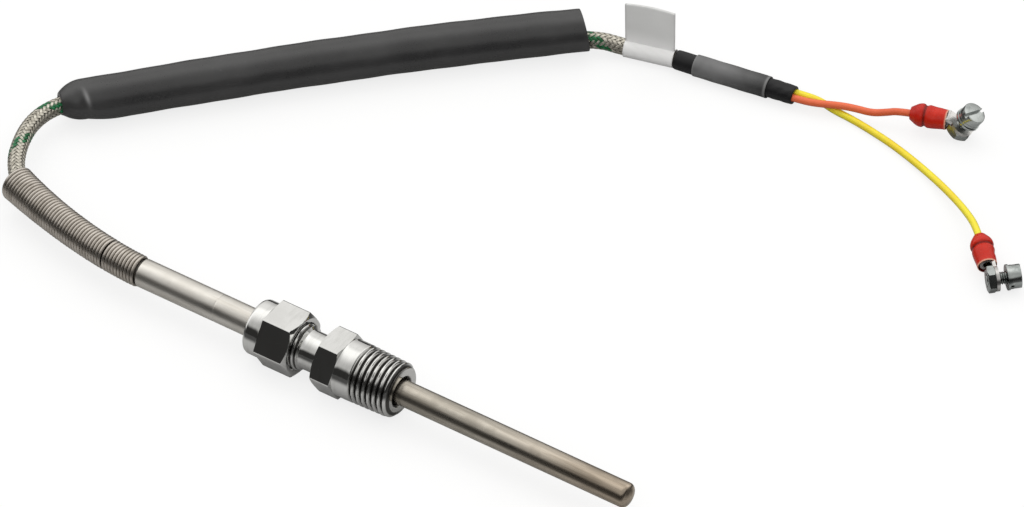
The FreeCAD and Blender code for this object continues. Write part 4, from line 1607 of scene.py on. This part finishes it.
@dataclass
class Boot:
    """The breakout boot and the film marker on it, both along the cable's last stretch."""

    stretch: int = -2
    ahead: float = 1.8
    boot_columns: int = 72
    radius: float = 2.3
    length: float = 29.8
    cable_depth: float = 7.1
    cable_hole_r: float = 2.03
    end_wide: float = 2.28
    end_high: float = 2.1
    pinch: tuple[float, float] = (23.4, 28.6)
    lead_room: float = 23.5
    waist: float = 0.18
    marker_columns: int = 96
    marker_start: float = 4.9
    marker_end: float = 23.3
    marker_bore_r: float = 2.43
    marker_wall: float = 0.13
    lap: float = 0.05
    lap_angle: float = 0.9

    def place(self) -> Place:
        """The boot's own frame: +X along the cable's last stretch."""
        return stretch_place(self.stretch, self.ahead)

    def build_boot(self) -> bpy.types.Object:
        """The boot: rings from a round bore for the cable to a flat end that hugs the two leads.

        Returns:
            The boot.
        """
        bore_t = np.array([self.cable_depth, self.cable_depth, 0.4, 0.1])
        bore_r = np.array([0.0, self.cable_hole_r, self.cable_hole_r, self.cable_hole_r + 0.05])
        end = self.length
        outer_t = np.concatenate([[0.0, 0.05, 0.2], np.linspace(0.6, end - 0.3, 110), [end - 0.1, end]])
        inner_t = np.array([end - 0.05, end - 0.3, self.lead_room, self.lead_room])
        t, angle = outer_t[:, None], ring_angles(self.boot_columns)[None, :]
        pinch = smooth_step(t, *self.pinch)
        lip_t = [0, 0.05, 0.2, 0.6, end - 0.3, end - 0.1, end]
        end_lip = np.interp(outer_t, lip_t, [-0.2, -0.1, -0.03, 0, 0, -0.06, -0.18])[:, None]
        wrinkle = 0.035 * np.sin(t * 2.3 + 3 * np.cos(2 * angle)) * smooth_step(t, 20, 24)
        swell = 0.05 * np.sin(t * 0.5 + np.cos(angle))
        skin = self.radius + end_lip + wrinkle + swell
        waist = self.waist * pinch * hump(np.cos(angle), 0.0, 0.35)
        ones = np.ones((1, self.boot_columns))
        bore, inner_w, inner_h = (
            radii[:, None] * ones
            for radii in (bore_r, np.array([1.98, 1.92, 1.92, 0.0]), np.array([1.2, 0.98, 0.98, 0.0]))
        )
        wide = np.concatenate([bore, skin + (self.end_wide - self.radius) * pinch, inner_w])
        high = np.concatenate([bore, skin + (self.end_high - self.radius) * pinch - waist, inner_h])
        along = np.concatenate([bore_t, outer_t, inner_t])[:, None] * ones
        grid = np.stack([along, wide * np.cos(angle), high * np.sin(angle)], axis=-1)
        thing = Surface.from_grid(grid).placed(self.place()).to_object("breakout_boot_shrunk", 50.0)
        return settle(thing, Body.SENSOR, BOOT, "breakout_boot")

    def build_marker(self) -> bpy.types.Object:
        """The film sleeve on the boot: a thin wall with a lapped edge along it.

        Returns:
            The sleeve.
        """
        start, end = self.marker_start, self.marker_end
        outer_rows = np.linspace(start + 0.1, end - 0.1, 90)
        inner_rows = np.linspace(end - 0.1, start + 0.1, 30)
        rows = np.array([start, start, *outer_rows, end, end, *inner_rows])
        outside = np.array([0.0, 0.7, *np.ones(90), 0.7, 0.0, *np.zeros(30)])[:, None]
        angle = ring_angles(self.marker_columns)[None, :]
        lap = self.lap * smooth_step(np.cos(angle - self.lap_angle), 0.86, 0.93)
        wave = 0.025 * np.sin(rows[:, None] * 0.9 + 2 * np.sin(angle))
        radius = self.marker_bore_r + outside * (self.marker_wall + lap + wave)
        grid = np.stack([rows[:, None] + 0 * angle, radius * np.cos(angle), radius * np.sin(angle)], axis=-1)
        surface = Surface.from_grid(grid, close_rows=True).placed(self.place())
        ragged = rows[:, None] + 1.6 * np.sin(2 * angle + 0.6)
        surface.marks = (0.92 * smooth_step(ragged, start + 4.0, end + 1.0)).reshape(-1)
        lip = 0.6 * hump(rows, start, 0.3) + 0.8 * hump(rows, end - 0.3, 0.3)
        surface.depths = np.repeat(np.clip(lip, 0, 1), self.marker_columns)
        thing = surface.to_object("marker_film_sleeve", 40.0)
        return settle(thing, Body.SENSOR, MARKER, "marker_sleeve")


@dataclass
class Cable:
    """The braided cable: a dark core, and bundles of wires woven over it.

    Each shown stretch has its two ends, and the distance at which its first bundle stands to the side. The rear
    stretch counts from the cable's end.
    """

    outer_r: float = 1.95
    core_r: float = 1.66
    ends: int = 12
    lay: float = 14.92
    weave: float = 0.11
    wires: int = 3
    sink: float = 0.17
    cover: float = 0.92
    arch: float = 0.10
    ripple: float = 0.045
    underside: float = -0.06
    station: float = 0.2
    tracers: tuple[int, ...] = (0, 1, 2)
    front_stretch: Point = (37.0, 84.0, 53.91)
    rear_stretch: Point = (-42.0, -16.6, 195.97)
    path: Path = field(init=False)

    def __post_init__(self) -> None:
        """Read the cable's line."""
        self.path = Path.smooth(CABLE_POINTS)

    def build_core(self) -> bpy.types.Object:
        """The cable's core, which is the cord itself."""
        thing = nurbs("cable_core", CABLE_POINTS, self.core_r)
        return settle(thing, Body.SENSOR, CORE, "braided_cable")

    def strands(self, lay: Lay, along: Array, origin: float) -> Surface:
        """One half of the braid: flat bundles of wires that wind one way and pass over and under the others.

        Args:
            lay: which way they wind.
            along: distances along the cable.
            origin: the distance at which the first bundle stands to the side.

        Returns:
            The strands. A bundle's centre goes round by its distance over the lay, and in and out as a cosine of
            the crossings that it has passed. Its top is a low arch with a ripple for each wire.
        """
        number = np.arange(self.ends)
        place, _, side, up = self.path.frames(along)
        wound = lay.value * (along[None, :] - origin) / self.lay + number[:, None] / self.ends
        angle = 2 * np.pi * wound
        crossings = 2 * self.ends * wound
        swing = lay.value * np.cos(np.pi / 2 * crossings - np.pi / 4)
        marks = np.isin(number, self.tracers).astype(float) if lay is Lay.RIGHT else np.zeros(self.ends)
        # tracer threads lie a little proud and never dive under
        swing = np.where(marks[:, None] > 0, np.maximum(swing, 0.1) + 0.25, swing)
        outward = side[None] * np.cos(angle)[..., None] + up[None] * np.sin(angle)[..., None]
        middle = self.outer_r - self.sink
        centres = place[None] + outward * (middle + self.weave * swing)[..., None]
        slant = math.atan2(2 * math.pi * middle, self.lay)
        half = math.pi * middle / self.ends * math.cos(slant) * self.cover
        share = np.linspace(-1, 1, 4 * self.wires + 1)
        ripple = np.abs(np.sin(math.pi / 2 * self.wires * (share + 1)))
        bulge = self.arch * np.sqrt(np.clip(1 - (share / 1.04) ** 2, 0, 1)) + self.ripple * ripple
        top = np.stack([bulge, half * share], axis=-1)
        under = np.array([[self.underside, half * 0.7], [self.underside, -half * 0.7]])
        edge = np.concatenate([np.maximum(share**6, 0.8 * (1 - ripple) ** 2), [1.0, 1.0]])
        # painted shade: darker where a bundle dips under the other lay, at its edges and between its wires
        depths = np.clip(0.38 * (1 - swing[..., None]) + 0.7 * edge, 0, 1)
        return strands_surface(swept(centres, outward, np.concatenate([top, under])), marks, depths)

    def build_braid(self) -> list[bpy.types.Object]:
        """The braid where it shows: from inside the spring to inside the sleeve, and on to inside the label.

        Returns:
            The pieces, one for each way that the strands wind.
        """
        rear_low, rear_high, rear_origin = self.rear_stretch
        stretches = (
            self.front_stretch,
            (self.path.length + rear_low, self.path.length + rear_high, rear_origin),
        )
        made = []
        for lay in Lay:
            parts = [
                self.strands(lay, np.linspace(low, high, int((high - low) / self.station)), origin)
                for low, high, origin in stretches
            ]
            thing = Surface.joined(parts).to_object(f"braid_{lay.name.lower()}", 70.0)
            made.append(settle(thing, Body.SENSOR, BRAID))
        return made

    def build(self) -> bpy.types.Object:
        """Returns:
            The cord.
        """
        core = self.build_core()
        boot = Boot()
        pieces = self.build_braid()
        pieces += [Sleeve().build(), Label().build(), boot.build_boot(), boot.build_marker()]
        return core


RING_FINISHES: dict[str, Finish] = {
    "ring_terminal": TINNED,
    "lock_washer": ZINC,
    "flat_washer": ZINC,
    "nut": ZINC,
}


@dataclass
class Terminal:
    """One lead's end: the ring terminal with its red sleeve, and the screw, washers and nut on the ring.

    The red sleeve's outside is given from its back end, and its inside from where the tongue begins.
    """

    SLEEVE_OUTSIDE: ClassVar[tuple[tuple[float, float], ...]] = (
        (0.0, 1.5), (0.3, 1.7), (0.8, 2.02), (1.5, 2.45), (2.2, 2.7), (2.75, 2.75), (3.1, 2.66), (3.35, 2.4),
        (3.6, 2.34), (3.9, 2.5), (4.3, 2.68), (5.4, 2.64), (6.6, 2.5), (7.7, 2.36), (8.45, 2.34), (8.65, 2.24),
    )
    SLEEVE_INSIDE: ClassVar[tuple[tuple[float, float], ...]] = (
        (-0.35, 2.08), (-1.9, 1.98), (-2.1, 1.72), (-5.25, 1.72), (-5.25, 0.93), (-7.8, 0.95), (-9.0, 1.25),
    )

    colour: str
    body: Body
    centre: Point
    heading: float
    dip: float
    upright: bool
    bend: float
    slot_turn: float
    lead: tuple[Point, ...]
    lead_finish: PlasticFinish
    lead_r: float = 0.85
    root: float = 3.7
    barrel_r: float = 1.65
    tongue: float = 0.8
    sleeve_columns: int = 72
    groove: float = 3.5
    dent: float = 5.6
    dent_depth: float = 0.22
    shank_columns: int = 48
    shank_r: float = 1.5
    tail: float = -2.4
    tail_r: float = 1.15
    under_head: float = 3.6
    screw_pitch: float = 0.5
    thread_cut: float = 0.27
    head_r: float = 2.75
    head_height: float = 1.9
    head_rounding: float = 0.28
    head_crown: float = 0.12
    slot_width: float = 0.8
    slot_depth: float = 0.9

    def axes(self) -> tuple[Array, Array, Array, Array]:
        """The tongue's direction, the screw's axis, the barrel's direction and the barrel's up.

        Returns:
            Four unit vectors.
        """
        turn, fall, lift = (math.radians(value) for value in (self.heading, self.dip, self.bend))
        level = np.array([math.cos(turn), math.sin(turn), 0.0])
        up = np.array(UP)
        tongue = level * math.cos(fall) - up * math.sin(fall)
        if self.upright:
            screw = level * math.sin(fall) + up * math.cos(fall)
        else:
            screw = np.array([-math.sin(turn), math.cos(turn), 0.0])
        barrel = tongue * math.cos(lift) + screw * math.sin(lift)
        return tongue, screw, barrel, screw * math.cos(lift) - tongue * math.sin(lift)

    @property
    def barrel_place(self) -> Place:
        """The barrel's own frame.

        Returns:
            The frame: the barrel's axis is +X, and 0 is where the tongue begins.
        """
        tongue, _, barrel, up = self.axes()
        origin = np.array(self.centre) - tongue * self.root - up * (self.barrel_r - self.tongue / 2)
        return Place.along(origin, barrel, up)

    @property
    def screw_place(self) -> Place:
        """The screw's own frame.

        Returns:
            The frame: +Z runs along the screw to its head, from the middle of the ring.
        """
        tongue, screw, _, _ = self.axes()
        turn = math.radians(self.slot_turn)
        across = np.cross(screw, tongue)
        return Place.along(self.centre, tongue * math.cos(turn) + across * math.sin(turn), screw)

    def build_lead(self) -> bpy.types.Object:
        """The lead, a smooth round cord."""
        thing = nurbs(f"{self.colour}_lead_cord", self.lead, self.lead_r)
        return settle(thing, Body.SENSOR, self.lead_finish, f"{self.colour}_lead")

    def build_insulator(self) -> bpy.types.Object:
        """The red sleeve: a bell for the lead, a crimped groove and a straight mouth, turned and dented.

        Returns:
            The sleeve.
        """
        front, back = self.SLEEVE_INSIDE[0][0], self.SLEEVE_INSIDE[-1][0]
        known_t, known_r = np.array(self.SLEEVE_OUTSIDE).T
        t = np.linspace(0, known_t[-1], 70)
        smooth = np.interp(t, known_t, known_r)
        smooth[1:-1] = np.convolve(smooth, np.array([0.25, 0.5, 0.25]), "valid")
        outer = np.stack([back + t, smooth], axis=-1)
        outline = refined(np.concatenate([outer, np.array(self.SLEEVE_INSIDE)]), lambda middle: 0.5)

        def dented(x: Array, radius: Array, angle: Array) -> Array:
            """The radius with the crimping tool's shallow dent in its upper side."""
            near = hump(x, back + self.dent, 0.9) * np.clip(np.sin(angle), 0, 1) ** 2
            return radius - self.dent_depth * near * (radius > 1.9)

        def sunk(x: Array, radius: Array, angle: Array) -> Array:
            """The groove between the bell and the barrel, and the sleeve's inside, where painted shade darkens it.
            """
            inside = (radius < 2.09) & (x > back + 2.0) | (radius < 1.3)
            return np.maximum(0.85 * hump(x, back + self.groove, 0.3), inside)

        surface = turned(outline, self.sleeve_columns, dented, sunk).placed(self.barrel_place)
        x, y, z = turned(outline, self.sleeve_columns).points.T
        surface.marks = smooth_step(x, front - 0.45, front - 0.05) * (np.hypot(y, z) > 2.02)
        thing = surface.to_object(f"{self.colour}_insulator_moulded", 40.0)
        return settle(thing, Body.SENSOR, INSULATOR, f"{self.colour}_insulator")

    def head_surface(self) -> Surface:
        """The slotted head: sections across the slot, each as wide as the circle is there.

        Returns:
            The head's surface. A section goes up one side, over the rounded edge, down and up through the slot,
            and down the other side in the same way.
        """
        radius, slot, soft = self.head_r, self.slot_width / 2, self.head_rounding
        low, high = self.under_head, self.under_head + self.head_height
        edge, nudge = math.acos(slot / radius), 1e-4
        by_slot = [-edge - nudge, -edge + nudge, edge - nudge, edge + nudge]
        turn = np.sort(np.concatenate([np.linspace(-np.pi / 2, np.pi / 2, 49), by_slot]))
        along, half = radius * np.sin(turn), radius * np.cos(turn)
        pad = half > slot + HAIR
        top = np.where(pad, high, high - self.slot_depth)
        inner = np.minimum(half, slot)
        out = np.maximum(half - soft, inner)
        y = [half, half, half - (half - out) * 0.3, out, inner, inner]
        z = [
            np.full_like(half, low),
            top - soft * pad,
            top - soft * 0.3 * pad,
            top,
            top + self.head_crown * pad,
            np.full_like(half, high - self.slot_depth),
        ]
        y = np.stack([*(-value for value in y), *y[::-1]], axis=-1)
        z = np.stack([*z, *z[::-1]], axis=-1)
        grid = np.stack([np.repeat(along[:, None], y.shape[1], axis=1), y, z], axis=-1)
        return Surface.from_grid(grid[:, ::-1])

    def build_screw(self) -> bpy.types.Object:
        """The screw: a slotted head and a shank with a fine right-hand thread.

        Returns:
            The screw.
        """
        under, tail, radius = self.under_head, self.tail, self.shank_r
        corners = [(tail, 0.0), (tail, self.tail_r), (tail + 0.3, radius), (under + 0.2, radius), (under + 0.2, 0.0)]
        outline = refined(np.array(corners), lambda middle: 0.07 if middle[1] > 1.0 else 0.5)

        def thread(x: Array, wide: Array, angle: Array) -> Array:
            """The thread's V, cut into the shank and gone under the head.

            Args:
                x: distance along the shank.
                wide: the outline's radius.
                angle: angle round the shank.

            Returns:
                The shank's radius.
            """
            share = 1 - smooth_step(x, under - 0.6, under - 0.1)
            cut = radius - self.thread_cut * share * thread_depth(x, angle, self.screw_pitch)
            return np.where(wide > 0.5, np.minimum(wide, cut), wide)

        def sunk(x: Array, wide: Array, angle: Array) -> Array:
            """The thread's depth on the shank's outside, where the thread's roots are painted with shade."""
            return thread_depth(x, angle, self.screw_pitch) * (wide > 0.5)

        shank = turned(outline, self.shank_columns, thread, sunk)
        shank.points = shank.points[:, [1, 2, 0]]
        surface = Surface.joined([self.head_surface(), shank]).placed(self.screw_place)
        thing = surface.to_object(f"{self.colour}_screw_cut", 32.0)
        return settle(thing, self.body, ZINC, f"{self.colour}_screw")

    def build(self) -> bpy.types.Object:
        """Returns:
            The lead.
        """
        lead = self.build_lead()
        pieces = [self.build_insulator(), self.build_screw()]
        for name, finish in RING_FINISHES.items():
            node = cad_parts[f"{self.colour}_{name}"]
            dress(node, finish.material())
            pieces.append(node)
        length = Path.smooth(self.lead).length
        return lead


INNER_FINISHES: dict[str, Finish] = {
    "mineral_insulation": CERAMIC,
    "ceramic_bead": CERAMIC,
    "positive_wire": ELEMENT,
    "negative_wire": ELEMENT,
    "hot_junction": ELEMENT,
    "end_seal": GLASS_SEAL,
    "potting_fill": RESIN,
    "front_ferrule": FITTING_STEEL,
    "back_ferrule": FITTING_STEEL,
}


@dataclass
class Studio:
    """The plain floor, the soft light and the camera."""

    azimuth: float = math.radians(34.48)
    elevation: float = math.radians(41.67)
    aim: Point = (8.81, 31.0, 23.4)
    width: float = 230.52
    lens: float = 760.0
    sensor: float = 36.0
    floor_z: float = -7.02
    floor_half: float = 6000.0
    lamps_aim: Point = (-0.02, 0.06, 0.0)

    def outward(self) -> Array:
        """The direction from the object to the camera."""
        level = math.cos(self.elevation)
        return np.array([math.sin(self.azimuth) * level, -math.cos(self.azimuth) * level, math.sin(self.elevation)])

    def build_camera(self) -> None:
        """A long lens that looks at the photograph's centre from the photograph's side."""
        data = bpy.data.cameras.new("camera")
        data.lens = self.lens
        data.sensor_width = self.sensor
        data.clip_end = 50.0
        camera = bpy.data.objects.new("camera", data)
        distance = self.lens / self.sensor * self.width
        camera.location = Vector((np.array(self.aim) + self.outward() * distance) * MM)
        camera.rotation_euler = (-Vector(self.outward())).to_track_quat("-Z", "Y").to_euler()
        bpy.context.scene.collection.objects.link(camera)
        bpy.context.scene.camera = camera

    def build_floor(self) -> None:
        """A wide pale floor that keeps a soft shadow, and that throws less light back where it is seen flat."""
        half = self.floor_half
        rows = [[(x, y, self.floor_z) for x in (-half, half)] for y in (half, -half)]
        floor = Surface.from_grid(np.array(rows), close_columns=False).to_object("floor")
        material = bpy.data.materials.new("floor")
        material.use_nodes = True
        material.node_tree.nodes.clear()
        nodes = Nodes(material.node_tree)
        steep = nodes.add("ShaderNodeLayerWeight", None, Blend=0.5).outputs["Facing"]
        thrown = nodes.spread(steep, 0.5, 0.8, 0.46, 0.07)
        seen = nodes.add("ShaderNodeLightPath").outputs["Is Camera Ray"]
        diffuse = nodes.add("ShaderNodeBsdfDiffuse", None, Color=nodes.blend(seen, thrown, four((0.93, 0.93, 0.93))))
        glow = nodes.add("ShaderNodeEmission", None, Color=four(WHITE), Strength=1.0)
        mixed = nodes.add("ShaderNodeMixShader", None, Fac=nodes.math("MULTIPLY", seen, 0.78))
        for index, shader in enumerate((diffuse, glow), 1):
            nodes.put(mixed.inputs[index], shader.outputs[0])
        nodes.add("ShaderNodeOutputMaterial", None, Surface=mixed.outputs[0])
        dress(floor, material)

    def build_world(self) -> None:
        """A studio's surroundings: a bright tent above and behind, and a dark room low on the camera's side.

        The camera sees plain white. Metal sees the tent with a window above it, which falls off to the front.
        """
        world = bpy.data.worlds.new("studio")
        bpy.context.scene.world = world
        world.use_nodes = True
        world.node_tree.nodes.clear()
        nodes = Nodes(world.node_tree)
        direction = nodes.add("ShaderNodeTexCoord").outputs["Generated"]
        place = nodes.add("ShaderNodeSeparateXYZ", None, Vector=direction)
        front = nodes.add("ShaderNodeVectorMath", {"operation": "DOT_PRODUCT"})
        nodes.put(front.inputs[0], direction)
        nodes.put(front.inputs[1], (math.sin(self.azimuth), -math.cos(self.azimuth), 0.0))
        height, toward = place.outputs["Z"], front.outputs["Value"]
        rise = nodes.spread(height, 0.0, 0.65, 0.0, 1.0)
        tent = nodes.blend(rise, four((0.62, 0.61, 0.595)), four((1.0, 0.99, 0.965)))
        low = nodes.spread(height, 0.36, 0.58, 1.0, 0.0)
        near = nodes.math("MULTIPLY", low, nodes.spread(toward, -0.15, 0.25, 0.0, 1.0))
        right = nodes.spread(place.outputs["X"], 0.35, 0.8, 0.0, 0.62)
        side = nodes.math("MULTIPLY", right, nodes.spread(height, 0.15, 0.6, 1.0, 0.0))
        room = nodes.blend(nodes.math("MAXIMUM", near, side), tent, four((0.055, 0.054, 0.052)))
        window = nodes.spread(toward, -0.72, -0.5, 0.96, 1.35)
        fall = nodes.spread(toward, -0.35, 0.3, 1.0, 0.42)
        mirrored = nodes.blend(1.0, room, nodes.math("MULTIPLY", window, fall), "MULTIPLY")
        rays = nodes.add("ShaderNodeLightPath")
        seen = rays.outputs["Is Camera Ray"]
        mirrors = nodes.math("MAXIMUM", rays.outputs["Is Glossy Ray"], rays.outputs["Is Transmission Ray"])
        shown = nodes.math("MAXIMUM", seen, mirrors)
        backdrop = nodes.blend(seen, mirrored, four(WHITE))
        colour = nodes.blend(shown, room, backdrop)
        studio = nodes.add("ShaderNodeBackground", None, Color=colour, Strength=1.0)
        nodes.add("ShaderNodeOutputWorld", None, Surface=studio.outputs[0])

    def build_lamp(self, name: str, place: Point, size: tuple[float, float], watts: float) -> None:
        """A soft box that faces the object.

        Args:
            name: the lamp's name.
            place: where it hangs, in metres.
            size: its width and height, in metres.
            watts: its power.
        """
        data = bpy.data.lights.new(name, "AREA")
        data.shape = "RECTANGLE"
        data.size, data.size_y = size
        data.energy = watts
        lamp = bpy.data.objects.new(name, data)
        lamp.location = place
        lamp.rotation_euler = (Vector(self.lamps_aim) - Vector(place)).to_track_quat("-Z", "Y").to_euler()
        lamp.visible_glossy = False
        bpy.context.scene.collection.objects.link(lamp)

    def build(self) -> None:
        """Set the scene's view, and build the floor, the world, the lamps and the camera."""
        bpy.context.scene.view_settings.view_transform = "Standard"
        self.build_floor()
        self.build_world()
        self.build_lamp("key", place=(-0.55, 0.55, 1.15), size=(1.6, 1.2), watts=5.6)
        self.build_lamp("fill", place=(0.7, -0.9, 0.75), size=(0.9, 0.9), watts=4.0)
        self.build_camera()


def main() -> None:
    """Build every piece in order and report it."""
    logging.basicConfig(level=logging.INFO, format="%(name)s: %(message)s")
    GROUPS["metal"] = drawn_metal_group()
    GROUPS["plastic"] = moulded_group()
    Studio().build()
    Cable().build()
    orange = Terminal(
        "orange",
        Body.ORANGE_SCREW,
        centre=(51.45, 150.47, -3.55),
        heading=18.6,
        dip=34.0,
        upright=True,
        bend=34.0,
        slot_turn=55.0,
        lead=ORANGE_POINTS,
        lead_finish=ORANGE,
    )
    yellow = Terminal(
        "yellow",
        Body.YELLOW_SCREW,
        centre=(86.84, 111.4, -3.95),
        heading=-44.2,
        dip=9.0,
        upright=False,
        bend=0.0,
        slot_turn=51.0,
        lead=YELLOW_POINTS,
        lead_finish=YELLOW,
    )
    probe, fitting = Probe(), Fitting()
    builders = (
        orange.build,
        yellow.build,
        probe.build_sheath,
        probe.build_tube,
        fitting.build_body,
        fitting.build_nut,
        StrainRelief().build,
    )
    for build in builders:
        build()
    for node, finish in INNER_FINISHES.items():
        dress(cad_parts[node], finish.material())
        LOG.info("node %s keeps its shape", node)


if __name__ == "__main__":
    main()
